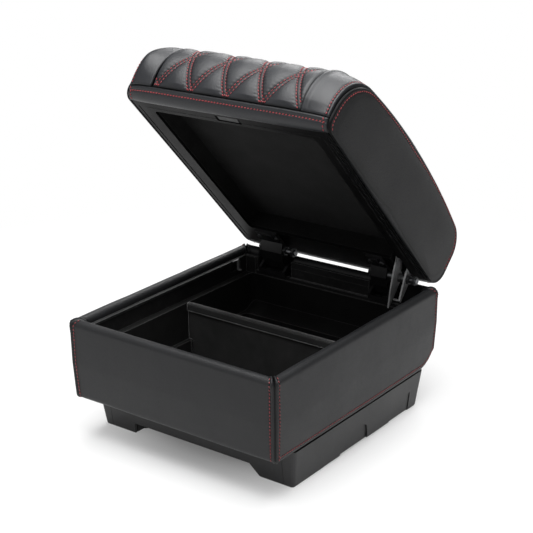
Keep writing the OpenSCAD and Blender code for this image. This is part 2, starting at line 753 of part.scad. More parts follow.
module stay_spring() {
    wire = 0.9;
    turns = 4;
    x0 = blade_x + blade_t + 0.1 + wire;
    x1 = plate_x - 0.1 - wire;
    color(steel) lid_pose() at_pin() translate([0, cross_at[0], cross_at[1]])
        for (i = [0:turns]) translate([x0 + i * (x1 - x0) / turns, 0, 0]) rotate([0, 90, 0])
            rotate_extrude($fn = fine) translate([cross_r + 0.1 + wire + 1, 0]) circle(wire, $fn = 16);
}

pan_front = -lid_front + nose_r + 0.5;
pan_rear = lid_rear - heel_r - 1;
pan_w = 2 * side_back - 5;
recess_w = pan_w - 2 * pan_rim_w;
recess_front = pan_front + 14;
recess_rear = hinge_y - 50;
recess_y = (recess_front + recess_rear) / 2;
recess_l = recess_rear - recess_front;

module lid_pan() {
    notch_w = 30;
    pocket_l = 25;
    color(plastic) lid_pose() translate([0, 0, lid_z]) difference() {
        union() {
            block([-pan_w / 2, pan_front, 0.2], [pan_w / 2, pan_rear, 3]);
            translate([0, recess_y, 2]) linear_extrude(recess_d + pan_t - 2)
                rounded(recess_w + 2 * pan_t, recess_l + 2 * pan_t, 7);
            // Pocket behind the recess for the two plates beside the right hinge
            block([blade_x - 3, recess_rear - 2, 2], [plate_x + 5, recess_rear + pocket_l + 2, recess_d]);
            // Ledge round the recess
            translate([0, recess_y, 0]) linear_extrude(1) rounded(recess_w + 22, recess_l + 10, 7);
        }
        translate([0, recess_y, -1]) linear_extrude(recess_d + 1) rounded(recess_w, recess_l, 5);
        // Groove along both sides
        for (s = [-1, 1]) scale([s, 1, 1])
            block([pan_w / 2 - 5.2, pan_front + 8, -1], [pan_w / 2 - 3.6, pan_rear - 8, 1.4]);
        // Catch notch
        block([-notch_w / 2, pan_front + 3, -1], [notch_w / 2, pan_front + 11, 1.6]);
        block([blade_x - 1, recess_rear - 6, -1], [plate_x + 2.8, recess_rear + pocket_l, recess_d - 2]);
        // Slots that carry the pocket on to the rear
        block([blade_x - 1, recess_rear - 6, -1], [blade_x + 2.6, recess_rear + 35, 20]);
        block([plate_x - 1, recess_rear - 1, -1], [plate_x + 2.8, recess_rear + 35, 20]);
        for (s = [-1, 1], x = flange_screws(s)) translate([s * x, hinge_y + flange_screw_y, -1])
            cylinder(r = 1.5, h = 3.2, $fn = fine);
    }
}

module lid_lining() {
    t = 0.8;
    g = 0.2;
    color(suede) lid_pose() translate([0, recess_y, lid_z]) difference() {
        translate([0, 0, 3]) linear_extrude(recess_d - 3 - g) rounded(recess_w - 2 * g, recess_l - 2 * g, 4.8);
        translate([0, 0, 2]) linear_extrude(recess_d - 2 - g - t)
            rounded(recess_w - 2 * g - 2 * t, recess_l - 2 * g - 2 * t, 4);
        block([blade_x - 1, recess_l / 2 - 6, -1], [recess_w / 2 + 1, recess_l / 2 + 2, recess_d]);
    }
}

// Inside of the lid, pushed in by d, down to the height v
module core_profile(d, v) {
    n = 48;
    polygon([[-lid_front + d, v], for (i = [0:n]) let (p = run_point(run_len * i / n)) [p[0] - d * p[2], p[1] - d * p[3]],
             [lid_rear - d, heel_r - 4], [pan_rear - d + foam_t + foam_gap + 0.2, v]]);
}

module lid_core() {
    d0 = foam_t + foam_gap + 0.2;
    half = side_back - 9;
    color(black) lid_pose() translate([0, 0, lid_z]) difference() {
        along_x(-half, half) core_profile(d0, 3.1);
        along_x(-half + core_t, half - core_t) core_profile(d0 + core_t, 3);
    }
}

module lid_foam() {
    half = side_back - 0.8;
    t0 = 6;
    t1 = run_len - 6;
    n = 48;
    color("#77706a") lid_pose() translate([0, 0, lid_z]) along_x(-half, half)
        polygon([for (i = [0:n]) let (p = run_point(t0 + (t1 - t0) * i / n)) [p[0] - foam_gap * p[2], p[1] - foam_gap * p[3]],
                 for (i = [n:-1:0]) let (p = run_point(t0 + (t1 - t0) * i / n), d = foam_t + foam_gap)
                     [p[0] - d * p[2], p[1] - d * p[3]]]);
}

// A pad whose outer face is a grid of points, rows along the lid and columns
// across it, and whose inner face is straight across
module pad(outer, inner_l, inner_r, flip) {
    m = len(outer);
    n = len(outer[0]);
    pts = concat([for (row = outer) for (p = row) p], inner_l, inner_r);
    il = m * n;
    ir = il + m;
    cell = [for (j = [0:m - 2], i = [0:n - 2])
        let (a = j * n + i, b = a + 1, c = a + n + 1, d = a + n)
        flip && (i + j) % 8 == 0 ? [[a, d, b], [b, d, c]] : [[a, c, b], [a, d, c]]];
    outer_faces = [for (pair = cell) for (f = pair) f];
    inner_faces = [for (j = [0:m - 2]) [il + j, ir + j, ir + j + 1, il + j + 1]];
    left_faces = [for (j = [0:m - 2]) [j * n, il + j, il + j + 1, (j + 1) * n]];
    right_faces = [for (j = [0:m - 2]) [j * n + n - 1, (j + 1) * n + n - 1, ir + j + 1, ir + j]];
    first = [for (i = [0:n - 1]) i];
    last = [for (i = [n - 1:-1:0]) (m - 1) * n + i];
    polyhedron(points = pts, faces = concat(outer_faces, inner_faces, left_faces, right_faces,
        [concat([il], first, [ir])], [concat([ir + m - 1], last, [il + m - 1])]), convexity = 8);
}

// Point of the padded surface at x and length t, raised by h, on the closed lid
function skin(x, t, h) = let (p = run_point(t)) [x, p[0] + h * p[2], lid_z + p[1] + h * p[3]];
module quilted_panel() {
    cols = 8;
    step = diamond_l / 8;
    rows = floor((run_len - 1) / step);
    xs = concat([-quilt_half], [for (i = [0:cols * diamonds_across]) (i / cols - diamonds_across / 2) * diamond_w],
                [quilt_half]);
    ts = concat([0.2], [for (j = [1:rows]) j * step], [run_len - 0.2]);
    color(leather) lid_pose() pad(
        [for (t = ts) [for (x = xs)
            skin(x, t, crown(x, t) + (abs(x) < quilt_half && t > 1 && t < run_len - 1 ? puff(x, t) : 0))]],
        [for (t = ts) skin(-quilt_half, t, -inner_d)], [for (t = ts) skin(quilt_half, t, -inner_d)], true);
}

module top_strip(s) {
    n = 6;
    m = 44;
    x0 = quilt_half + seat;
    x1 = side_back - 0.5;
    xs = [for (i = [0:n]) x0 + (x1 - x0) * i / n];
    order = s > 0 ? xs : [for (i = [n:-1:0]) -xs[i]];
    ts = [for (j = [0:m]) 0.2 + (run_len - 0.4) * j / m];
    color(leather) lid_pose() pad([for (t = ts) [for (x = order) skin(x, t, crown(x, t))]],
        [for (t = ts) skin(order[0], t, -inner_d)], [for (t = ts) skin(order[n], t, -inner_d)], false);
}

module top_strip_left() { top_strip(-1); }
module top_strip_right() { top_strip(1); }

module side_panel(s) {
    back_x = side_back - 0.2;
    c = [-9, 38];
    rim = outline(0, 56);
    n = len(rim);
    ks = [1, 0.97, 0.9, 0.72, 0.4];
    xs = [for (k = ks) back_x + 1.2 + (side_bulge - 1) * (1 - pow(k, 6))];
    pts = concat([for (p = rim) [s * back_x, p[0], lid_z + p[1]]],
        [for (r = [0:4]) for (p = rim)
            [s * xs[r], c[0] + (p[0] - c[0]) * ks[r], lid_z + c[1] + (p[1] - c[1]) * ks[r]]],
        [[s * (back_x + 0.2 + side_bulge), c[0], lid_z + c[1]]]);
    ring_faces = [for (r = [0:4], i = [0:n - 1]) let (a = r * n + i, b = r * n + (i + 1) % n)
        for (f = [[a, b, b + n], [a, b + n, a + n]]) f];
    centre = len(pts) - 1;
    cap = [for (i = [0:n - 1]) [5 * n + i, 5 * n + (i + 1) % n, centre]];
    back = [for (i = [n - 1:-1:0]) i];
    faces = concat(ring_faces, cap, [back]);
    color(leather) lid_pose() polyhedron(points = pts,
        faces = s > 0 ? faces : [for (f = faces) [for (k = [len(f) - 1:-1:0]) f[k]]], convexity = 6);
}

module side_panel_left() { side_panel(-1); }
module side_panel_right() { side_panel(1); }

// A band along an end of the lid: it wraps from the seam under to the pan
module end_band(points, fade) {
    n = 16;
    half = side_back - 0.5;
    m = len(points) - 1;
    xs = [for (i = [0:n]) -half + 2 * half * i / n];
    function at(x, j, h) = let (p = points[j]) [x, p[0] + h * p[2], lid_z + p[1] + h * p[3]];
    pad([for (j = [0:m]) [for (x = xs) at(x, j, crown(x) * fade[j])]],
        [for (j = [0:m]) at(-half, j, -inner_d)], [for (j = [0:m]) at(half, j, -inner_d)], false);
}

module front_band() {
    n = 8;
    angles = [for (i = [0:n]) -92 - (86.5) * i / n];
    color(leather) lid_pose() end_band([for (a = angles) nose_point(a)], [for (i = [0:n]) sqrt(i / n)]);
}

module rear_band() {
    n = 8;
    color(leather) lid_pose() end_band(
        concat([[lid_rear, seam_rear - 0.2, 1, 0]], [for (i = [0:n]) heel_point(-90 * i / n)]),
        concat([1], [for (i = [0:n]) 1 - i / n]));
}

module catch_plate() {
    color(steel) lid_pose() translate([0, 0, lid_z])
        block([-12, pan_front + 4, 0.7], [12, pan_front + 10, 1.6]);
}

base_frame();
skirt_left();
skirt_right();
valance_front();
valance_rear();
carrier_box();
cover_front();
cover_rear();
cover_left();
cover_right();
rim_frame();
rear_trim();
bin_liner();
divider();
rail_clip();
keeper_plate();
bracket_left();
bracket_right();
hinge_pins();
bracket_screws();
base_screws();
lid_pan();
lid_lining();
lid_core();
lid_foam();
quilted_panel();
top_strip_left();
top_strip_right();
side_panel_left();
side_panel_right();
front_band();
rear_band();
catch_plate();
arm_left();
arm_right();
arm_screws();
cross_bolts();
stay_blade();
stay_plate();
stay_spring();
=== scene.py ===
from bisect import bisect_right
from math import atan, copysign, cos, degrees, dist, exp, hypot, pi, radians, sin, sqrt, tau

import bmesh
import bpy
from mathutils import Matrix, Vector, noise


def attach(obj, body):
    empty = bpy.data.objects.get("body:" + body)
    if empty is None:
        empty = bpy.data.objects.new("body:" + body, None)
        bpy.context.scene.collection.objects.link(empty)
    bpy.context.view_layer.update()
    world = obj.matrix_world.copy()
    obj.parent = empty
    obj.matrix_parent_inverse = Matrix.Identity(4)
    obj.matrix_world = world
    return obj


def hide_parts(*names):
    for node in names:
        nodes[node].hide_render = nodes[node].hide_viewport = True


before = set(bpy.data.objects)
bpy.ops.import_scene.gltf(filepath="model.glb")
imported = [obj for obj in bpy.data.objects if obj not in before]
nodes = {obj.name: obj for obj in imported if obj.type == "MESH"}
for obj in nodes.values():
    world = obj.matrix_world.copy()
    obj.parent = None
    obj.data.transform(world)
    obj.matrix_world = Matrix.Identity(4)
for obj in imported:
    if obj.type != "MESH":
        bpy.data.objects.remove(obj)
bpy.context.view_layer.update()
scene = bpy.context.scene
mm = 0.001
print("frame loaded:", len(nodes), "nodes")

cameraLook = {
    "place": (807.8, -1053.1, 651.5),  # mm
    "azimuth": 37.09, "elevation": 20.03, "roll": -0.80, "lens": 93.53, "sensor": 36, "clip": (0.05, 60),
}


def addCamera(look):
    az, el, roll = (radians(look[k]) for k in ("azimuth", "elevation", "roll"))
    turn = Matrix.Rotation(az, 4, "Z") @ Matrix.Rotation(pi / 2 - el, 4, "X") @ Matrix.Rotation(roll, 4, "Z")
    data = bpy.data.cameras.new("photoCamera")
    data.lens, data.sensor_width = look["lens"], look["sensor"]
    data.clip_start, data.clip_end = look["clip"]
    camera = bpy.data.objects.new("photoCamera", data)
    scene.collection.objects.link(camera)
    camera.matrix_world = Matrix.Translation(Vector(look["place"]) * mm) @ turn
    scene.camera = camera


addCamera(cameraLook)


# node helpers
def clearedTree(owner):
    owner.use_nodes = True
    owner.node_tree.nodes.clear()
    return owner.node_tree


def feed(tree, source, target):
    tree.links.new(source, target)


# Gives a socket the output of another node, a colour, a vector or a number
def give(tree, socket, value):
    if isinstance(value, bpy.types.NodeSocket):
        feed(tree, value, socket)
    elif socket.type == "RGBA":
        socket.default_value = (*value[:3], 1)
    else:
        socket.default_value = value


def fill(tree, node, inputs):
    for name, value in inputs.items():
        give(tree, node.inputs[name], value)


# A node with its settings, and its inputs by name or number
def addNode(tree, kind, inputs=None, **settings):
    node = tree.nodes.new("ShaderNode" + kind)
    for name, value in settings.items():
        setattr(node, name, value)
    fill(tree, node, inputs or {})
    return node


def objectCoords(tree):
    return addNode(tree, "TexCoord").outputs["Object"]


def noiseNode(tree, vector, scale, detail=3.0, rough=0.5):
    inputs = {"Vector": vector, "Scale": scale, "Detail": detail, "Roughness": rough}
    return addNode(tree, "TexNoise", inputs).outputs


def cellsNode(tree, vector, scale, feature):
    return addNode(tree, "TexVoronoi", {"Vector": vector, "Scale": scale}, feature=feature).outputs["Distance"]


def mathNode(tree, operation, *values, clamp=False):
    return addNode(tree, "Math", dict(enumerate(values)), operation=operation, use_clamp=clamp).outputs[0]


def rangeNode(tree, value, low, high, toLow=0.0, toHigh=1.0):
    inputs = {"Value": value, "From Min": low, "From Max": high, "To Min": toLow, "To Max": toHigh}
    return addNode(tree, "MapRange", inputs).outputs["Result"]


def mixColour(tree, factor, first, second):
    node = addNode(tree, "Mix", data_type="RGBA")
    sockets = [s for s in node.inputs if s.enabled]
    for socket, value in zip(sockets, (factor, first, second)):
        give(tree, socket, value)
    return [s for s in node.outputs if s.enabled][0]


# A group's inputs come with their default values; every output but Colour is a number
def newGroup(name, inputs, outputs):
    tree = bpy.data.node_groups.new(name, "ShaderNodeTree")
    for label, default in inputs.items():
        kind = "NodeSocketColor" if isinstance(default, tuple) else "NodeSocketFloat"
        socket = tree.interface.new_socket(label, in_out="INPUT", socket_type=kind)
        socket.default_value = default
    for label in outputs:
        kind = "NodeSocketColor" if label == "Colour" else "NodeSocketFloat"
        tree.interface.new_socket(label, in_out="OUTPUT", socket_type=kind)
    start, end = tree.nodes.new("NodeGroupInput"), tree.nodes.new("NodeGroupOutput")
    return tree, start.outputs, end.inputs, objectCoords(tree)


def useGroup(tree, group, **values):
    return addNode(tree, "Group", values, node_tree=group).outputs


def grey(tone):
    return (tone,) * 3


perMetre = 1000.0  # a size in mm becomes a texture scale
hideForm = {"warpScale": 260, "warp": 0.0012, "dome": 0.22, "fineScale": 2600, "fine": 0.18, "broadScale": 55}


# Pebbled hide: small cells with creases between them, and broad soft wrinkles
def hideGrainGroup():
    tree, start, end, where = newGroup("hideGrain", {"CellSize": 1.2, "Wrinkle": 0.3}, ("Height", "Crease"))
    scale = mathNode(tree, "DIVIDE", perMetre, start["CellSize"])
    warp = noiseNode(tree, where, hideForm["warpScale"], 2)
    bend = {0: warp["Color"], 1: (hideForm["warp"],) * 3, 2: where}
    bent = addNode(tree, "VectorMath", bend, operation="MULTIPLY_ADD")
    cells = cellsNode(tree, bent.outputs[0], scale, "DISTANCE_TO_EDGE")
    dome = rangeNode(tree, cells, 0.0, hideForm["dome"])
    fine = noiseNode(tree, where, hideForm["fineScale"], 3, 0.6)
    broad = noiseNode(tree, where, hideForm["broadScale"], 4, 0.55)
    folds = mathNode(tree, "MULTIPLY", broad["Fac"], start["Wrinkle"])
    pebbles = mathNode(tree, "MULTIPLY_ADD", fine["Fac"], hideForm["fine"], dome)
    feed(tree, mathNode(tree, "ADD", pebbles, folds), end["Height"])
    feed(tree, mathNode(tree, "SUBTRACT", 1.0, dome, clamp=True), end["Crease"])
    return tree


# Slow changes of tone over a surface, with a few darker and lighter patches
def toneDriftGroup():
    inputs = {"Colour": (0.1, 0.1, 0.1, 1), "Amount": 0.15, "Size": 60.0}
    tree, start, end, where = newGroup("toneDrift", inputs, ("Colour", "Patch"))
    wide = noiseNode(tree, where, mathNode(tree, "DIVIDE", perMetre, start["Size"]), 4, 0.6)
    swing = rangeNode(tree, wide["Fac"], 0.3, 0.7, -1.0, 1.0)
    gain = mathNode(tree, "MULTIPLY_ADD", swing, start["Amount"], 1.0)
    grow = addNode(tree, "VectorMath", {0: start["Colour"], "Scale": gain}, operation="SCALE")
    feed(tree, grow.outputs[0], end["Colour"])
    feed(tree, wide["Fac"], end["Patch"])
    return tree


wearGlintForm = {"flat": 0.995, "edge": 0.88, "patchScale": 380, "patch": (0.38, 0.62)}


# Lighter edges where the bevelled normal leaves the true one: rubbed wear broken up by noise, and a painted highlight
# that Even keeps unbroken along the edges
def edgeWearGlintGroup():
    inputs = {"Reach": 0.0006, "Amount": 0.6, "Even": 0.0}
    tree, start, end, where = newGroup("edgeWearGlint", inputs, ("WearGlint",))
    bevel = addNode(tree, "Bevel", {"Radius": start["Reach"]}, samples=3)
    normals = {0: bevel.outputs[0], 1: addNode(tree, "NewGeometry").outputs["Normal"]}
    dot = addNode(tree, "VectorMath", normals, operation="DOT_PRODUCT")
    edge = rangeNode(tree, dot.outputs["Value"], wearGlintForm["flat"], wearGlintForm["edge"])
    broken = noiseNode(tree, where, wearGlintForm["patchScale"], 4, 0.7)
    patchy = rangeNode(tree, broken["Fac"], *wearGlintForm["patch"])
    wearGlint = mathNode(tree, "MULTIPLY", edge, mathNode(tree, "MAXIMUM", patchy, start["Even"]))
    feed(tree, mathNode(tree, "MULTIPLY", wearGlint, start["Amount"], clamp=True), end["WearGlint"])
    return tree


dustForm = {"scale": 140, "patch": (0.52, 0.78)}


# Spark-eroded mould texture and faint dust on moulded plastic
def mouldGrainGroup():
    tree, start, end, where = newGroup("mouldGrain", {"GrainSize": 0.5}, ("Height", "Dust"))
    scale = mathNode(tree, "DIVIDE", perMetre, start["GrainSize"])
    grain = noiseNode(tree, where, scale, 2, 0.5)
    pits = cellsNode(tree, where, scale, "SMOOTH_F1")
    dust = noiseNode(tree, where, dustForm["scale"], 6, 0.75)
    feed(tree, mathNode(tree, "ADD", grain["Fac"], pits), end["Height"])
    feed(tree, rangeNode(tree, dust["Fac"], *dustForm["patch"]), end["Dust"])
    return tree


# Painted shade of the thin gap where two mouldings meet: a dark line the same distance to the left and the right
def gapShadeGroup():
    tree, start, end, where = newGroup("gapShade", {"Place": 0.11, "Width": 0.0005}, ("Line",))
    split = addNode(tree, "SeparateXYZ", {0: where})
    aside = mathNode(tree, "ABSOLUTE", split.outputs["X"])
    off = mathNode(tree, "ABSOLUTE", mathNode(tree, "SUBTRACT", aside, start["Place"]))
    near = mathNode(tree, "DIVIDE", off, start["Width"])
    feed(tree, rangeNode(tree, near, 1.0, 0.5), end["Line"])
    return tree


hideGrain, toneDrift, edgeWearGlint = hideGrainGroup(), toneDriftGroup(), edgeWearGlintGroup()
mouldGrain, gapShade = mouldGrainGroup(), gapShadeGroup()


# A cleared material with its shader and the drifting tone that every finish starts from
def newFinish(name, look):
    material = bpy.data.materials.new(name)
    tree = clearedTree(material)
    shader = addNode(tree, "BsdfPrincipled")
    addNode(tree, "OutputMaterial", {"Surface": shader.outputs[0]})
    tone = useGroup(tree, toneDrift, Colour=look["colour"], Amount=look["drift"], Size=look["patch"])
    return material, tree, shader, tone


# Fills a finish's shader, with a bump of its own height
def setFinish(tree, shader, look, height, inputs):
    bump = addNode(tree, "Bump", {"Strength": look["bump"], "Distance": look["bumpDepth"], "Height": height})
    fill(tree, shader, {**inputs, "Normal": bump.outputs[0]})


# Roughness that changes with a mask, by the two steps of roughSpread about its middle
def patchyRough(tree, mask, look):
    low, high = look["roughSpread"]
    return rangeNode(tree, mask, 0.3, 0.7, look["rough"] + low, look["rough"] + high)


leatherLook = {
    "patch": 70.0, "drift": 0.12, "cell": 1.1, "wrinkle": 0.5, "rough": 0.42, "roughSpread": (-0.04, 0.05),
    "shadeColour": (0.003, 0.003, 0.0034), "creaseShade": 0.3, "creaseRough": 0.12,
    "seamShade": 0.6, "seamSpecular": 0.05, "bump": 0.16, "bumpDepth": 0.0004,
}


def leatherFinish(name, look):
    look = {**leatherLook, **look}
    material, tree, shader, tone = newFinish(name, look)
    grain = useGroup(tree, hideGrain, CellSize=look["cell"], Wrinkle=look["wrinkle"])
    seam = addNode(tree, "Attribute", attribute_name="seam")
    # The grain's creases are darkened towards the dark shade colour: painted shade in the low lines between the cells
    creases = mathNode(tree, "MULTIPLY", grain["Crease"], look["creaseShade"])
    grainShaded = mixColour(tree, creases, tone["Colour"], look["shadeColour"])
    # The seam attribute darkens the colour and lowers the specular: painted shade in the seam grooves, along the
    # quilt lines and at the tucked edges
    shade = mathNode(tree, "MULTIPLY", seam.outputs["Fac"], look["seamShade"], clamp=True)
    rough = patchyRough(tree, tone["Patch"], look)
    setFinish(tree, shader, look, grain["Height"], {
        "Base Color": mixColour(tree, shade, grainShaded, look["shadeColour"]),
        "Roughness": mathNode(tree, "MULTIPLY_ADD", grain["Crease"], look["creaseRough"], rough),
        "Specular IOR Level": rangeNode(tree, shade, 0.0, 1.0, look["specular"], look["seamSpecular"]),
    })
    return material


plasticLook = {
    "patch": 45.0, "drift": 0.15, "reach": 0.0007, "even": 0.0, "roughSpread": (-0.05, 0.05), "polish": -0.15,
    "bumpDepth": 0.00012, "lineWidth": 0.0006, "gapShadeColour": grey(0.001),
}


def plasticFinish(name, look):
    look = {**plasticLook, **look}
    material, tree, shader, tone = newFinish(name, look)
    grain = useGroup(tree, mouldGrain, GrainSize=look["grain"])
    # Edges turn to the worn colour: rubbed wear and a painted highlight along them; dust turns to the same colour
    wearGlint = useGroup(tree, edgeWearGlint, Reach=look["reach"], Amount=look["wearGlint"], Even=look["even"])
    dust = mathNode(tree, "MULTIPLY", grain["Dust"], look["dust"])
    dusty = mixColour(tree, dust, tone["Colour"], look["wearDustGlint"])
    wornAndLit = mixColour(tree, wearGlint["WearGlint"], dusty, look["wearDustGlint"])
    # Painted shade of the thin gap between two mouldings, drawn as a dark line
    if "gapShade" in look:
        line = useGroup(tree, gapShade, Place=look["gapShade"], Width=look["lineWidth"])
        wornAndLit = mixColour(tree, line["Line"], wornAndLit, look["gapShadeColour"])
    rough = patchyRough(tree, tone["Patch"], look)
    setFinish(tree, shader, look, grain["Height"], {
        "Base Color": wornAndLit,
        "Roughness": mathNode(tree, "MULTIPLY_ADD", wearGlint["WearGlint"], look["polish"], rough),
        "Specular IOR Level": look["specular"],
    })
    return material


flockLook = {
    "patch": 28.0, "fibreScale": 2200, "fibreRough": (0.86, 0.98), "brushScale": 38, "brushed": (0.4, 0.66),
    "napShare": 0.5, "even": 0.7, "specular": 0.2, "sheenRough": 0.5, "bump": 0.35, "bumpDepth": 0.0003,
}


def flockFinish(name, look):
    look = {**flockLook, **look}
    material, tree, shader, tone = newFinish(name, look)
    where = objectCoords(tree)
    fibres = noiseNode(tree, where, look["fibreScale"], 3, 0.7)["Fac"]
    brushed = noiseNode(tree, where, look["brushScale"], 5, 0.65)["Fac"]
    nap = mathNode(tree, "MULTIPLY", rangeNode(tree, brushed, *look["brushed"]), look["napShare"])
    # The flock's edges turn to the worn colour: rubbed wear and a painted highlight, kept even along them
    wearGlint = useGroup(tree, edgeWearGlint, Reach=look["reach"], Amount=look["wearGlint"], Even=look["even"])
    napped = mixColour(tree, nap, tone["Colour"], look["nap"])
    setFinish(tree, shader, look, fibres, {
        "Base Color": mixColour(tree, wearGlint["WearGlint"], napped, look["wearDustGlint"]),
        "Roughness": rangeNode(tree, fibres, 0.3, 0.7, *look["fibreRough"]),
        "Specular IOR Level": look["specular"],
        "Sheen Weight": look["sheen"],
        "Sheen Roughness": look["sheenRough"],
    })
    return material


metalLook = {
    "patch": 14.0, "reach": 0.0005, "brush": (1, 0.15, 1), "lineScale": 320, "roughSpread": (-0.06, 0.08),
    "bump": 0.25, "bumpDepth": 0.0001,
}


def metalFinish(name, look):
    look = {**metalLook, **look}
    material, tree, shader, tone = newFinish(name, look)
    # Edges turn to the worn colour and grow more metallic: rubbed wear and a painted highlight
    wearGlint = useGroup(tree, edgeWearGlint, Reach=look["reach"], Amount=look["wearGlint"])
    brush = addNode(tree, "Mapping", {"Scale": look["brush"], "Vector": objectCoords(tree)})
    lines = noiseNode(tree, brush.outputs[0], look["lineScale"], 4, 0.6)["Fac"]
    setFinish(tree, shader, look, lines, {
        "Base Color": mixColour(tree, wearGlint["WearGlint"], tone["Colour"], look["wearDustGlint"]),
        "Metallic": mathNode(tree, "MULTIPLY_ADD", wearGlint["WearGlint"], 1.0 - look["metallic"], look["metallic"]),
        "Roughness": patchyRough(tree, lines, look),
    })
    return material


threadLook = {
    "patch": 9.0, "drift": 0.18, "twistScale": 620, "distortion": 1.5, "plyShare": 0.3, "twistRough": (0.5, 0.65),
    "sheen": 0.15, "bump": 0.5, "bumpDepth": 0.0001,
}


def threadFinish(name, look):
    look = {**threadLook, **look}
    material, tree, shader, tone = newFinish(name, look)
    inputs = {"Scale": look["twistScale"], "Distortion": look["distortion"], "Vector": objectCoords(tree)}
    twist = addNode(tree, "TexWave", inputs, wave_type="BANDS", bands_direction="DIAGONAL")
    ply = mathNode(tree, "MULTIPLY", twist.outputs["Fac"], look["plyShare"])
    setFinish(tree, shader, look, twist.outputs["Fac"], {
        "Base Color": mixColour(tree, ply, tone["Colour"], look["ply"]),
        "Roughness": rangeNode(tree, tone["Patch"], 0.3, 0.7, *look["twistRough"]),
        "Sheen Weight": look["sheen"],
    })
    return material


foamLook = {
    "colour": (0.17, 0.16, 0.145), "pore": (0.05, 0.047, 0.042), "patch": 30.0, "drift": 0.12,
    "poreScale": 900, "poreShare": 0.5, "poreDepth": 0.6, "poreRough": (0.85, 1.0), "bump": 0.5,
    "bumpDepth": 0.0004,
}


def foamFinish(name, look):
    material, tree, shader, tone = newFinish(name, look)
    pores = cellsNode(tree, objectCoords(tree), look["poreScale"], "F1")
    share = mathNode(tree, "MULTIPLY", pores, look["poreShare"])
    setFinish(tree, shader, look, pores, {
        "Base Color": mixColour(tree, share, tone["Colour"], look["pore"]),
        "Roughness": rangeNode(tree, pores, 0.0, look["poreDepth"], *look["poreRough"]),
    })
    return material


bodyLeather = leatherFinish("bodyLeather", {
    "colour": (0.0150, 0.0155, 0.0168), "specular": 0.32, "seamShade": 0.9})
lidLeather = leatherFinish("lidLeather", {
    "colour": (0.014, 0.0152, 0.0185), "rough": 0.38, "specular": 0.5, "cell": 0.95, "seamShade": 0.95})
# A darker copy of the lid leather with a low specular: painted shade for the lid's side panels
shadedSideLeather = leatherFinish("shadedSideLeather", {"colour": (0.0105, 0.0108, 0.0116), "specular": 0.18})
# The worn colours are the edges' colours: rubbed wear and painted highlight; the light edges of the rims, the bin,
# the divider and the satin steel are mostly painted highlight
basePlastic = plasticFinish("basePlastic", {
    "colour": (0.019, 0.019, 0.020), "wearDustGlint": (0.06, 0.06, 0.062), "grain": 0.45, "wearGlint": 0.5, "dust": 0.25,
    "rough": 0.5, "specular": 0.42, "bump": 0.35, "gapShade": 0.1104})
rimPlastic = plasticFinish("rimPlastic", {
    "colour": (0.015, 0.015, 0.0155), "wearDustGlint": (0.24, 0.24, 0.243), "grain": 0.35, "wearGlint": 1.0, "reach": 0.0011,
    "even": 0.6, "dust": 0.12, "rough": 0.44, "specular": 0.45, "bump": 0.25})
panPlastic = plasticFinish("panPlastic", {
    "colour": (0.0026, 0.0026, 0.0028), "wearDustGlint": grey(0.07), "drift": 0.12, "grain": 0.35,
    "wearGlint": 1.0, "dust": 0.06, "rough": 0.5, "specular": 0.1, "bump": 0.3})
frameNylon = plasticFinish("frameNylon", {
    "colour": grey(0.013), "wearDustGlint": grey(0.05), "drift": 0.2, "grain": 0.8,
    "wearGlint": 0.5, "dust": 0.3, "rough": 0.58, "specular": 0.4, "bump": 0.4})
binFlock = flockFinish("binFlock", {
    "colour": grey(0.005), "nap": grey(0.010), "wearDustGlint": grey(0.24), "wearGlint": 0.6,
    "reach": 0.0012, "drift": 0.25, "sheen": 0.05})
dividerFelt = flockFinish("dividerFelt", {
    "colour": grey(0.015), "nap": grey(0.028), "wearDustGlint": grey(0.6), "wearGlint": 1.0,
    "reach": 0.0015, "drift": 0.2, "sheen": 0.12})
lidSuede = flockFinish("lidSuede", {
    "colour": grey(0.003), "nap": grey(0.010), "wearDustGlint": grey(0.04), "wearGlint": 0.4,
    "reach": 0.001, "drift": 0.3, "sheen": 0.03})
hingeBlack = metalFinish("hingeBlack", {
    "colour": (0.012, 0.012, 0.013), "wearDustGlint": (0.16, 0.16, 0.17), "drift": 0.2, "wearGlint": 0.55,
    "brush": (1, 1, 1), "metallic": 0.2, "rough": 0.42})
zincSteel = metalFinish("zincSteel", {
    "colour": (0.17, 0.175, 0.18), "wearDustGlint": grey(0.5), "drift": 0.25, "wearGlint": 0.5,
    "metallic": 0.95, "rough": 0.4})
satinSteel = metalFinish("satinSteel", {
    "colour": (0.5, 0.505, 0.51), "wearDustGlint": grey(0.75), "drift": 0.2, "wearGlint": 0.6,
    "metallic": 0.45, "rough": 0.46})
# A darker copy of the red thread: painted shade for the stitches on the body's walls
darkerThread = threadFinish("darkerThread", {"colour": (0.24, 0.02, 0.026), "ply": (0.12, 0.008, 0.011)})
redThread = threadFinish("redThread", {"colour": (0.32, 0.026, 0.033), "ply": (0.17, 0.01, 0.014)})
cutFoam = foamFinish("cutFoam", foamLook)

hardFinish = {
    basePlastic: ["skirt_left", "skirt_right", "valance_front", "valance_rear"],
    rimPlastic: ["rim_frame", "rear_trim"],
    panPlastic: ["lid_pan"],
    frameNylon: ["base_frame", "carrier_box", "lid_core"],
    binFlock: ["bin_liner"],
    dividerFelt: ["divider"],
    lidSuede: ["lid_lining"],
    hingeBlack: ["bracket_left", "bracket_right", "arm_left", "arm_right", "catch_plate", "keeper_plate"],
    zincSteel: ["hinge_pins", "bracket_screws", "base_screws", "arm_screws", "cross_bolts"],
    satinSteel: ["rail_clip", "stay_blade", "stay_plate"],
}
for finish, names in hardFinish.items():
    for name in names:
        for place in nodes[name].material_slots:
            place.material = finish
print("finishes made for", sum(len(v) for v in hardFinish.values()), "hard nodes")


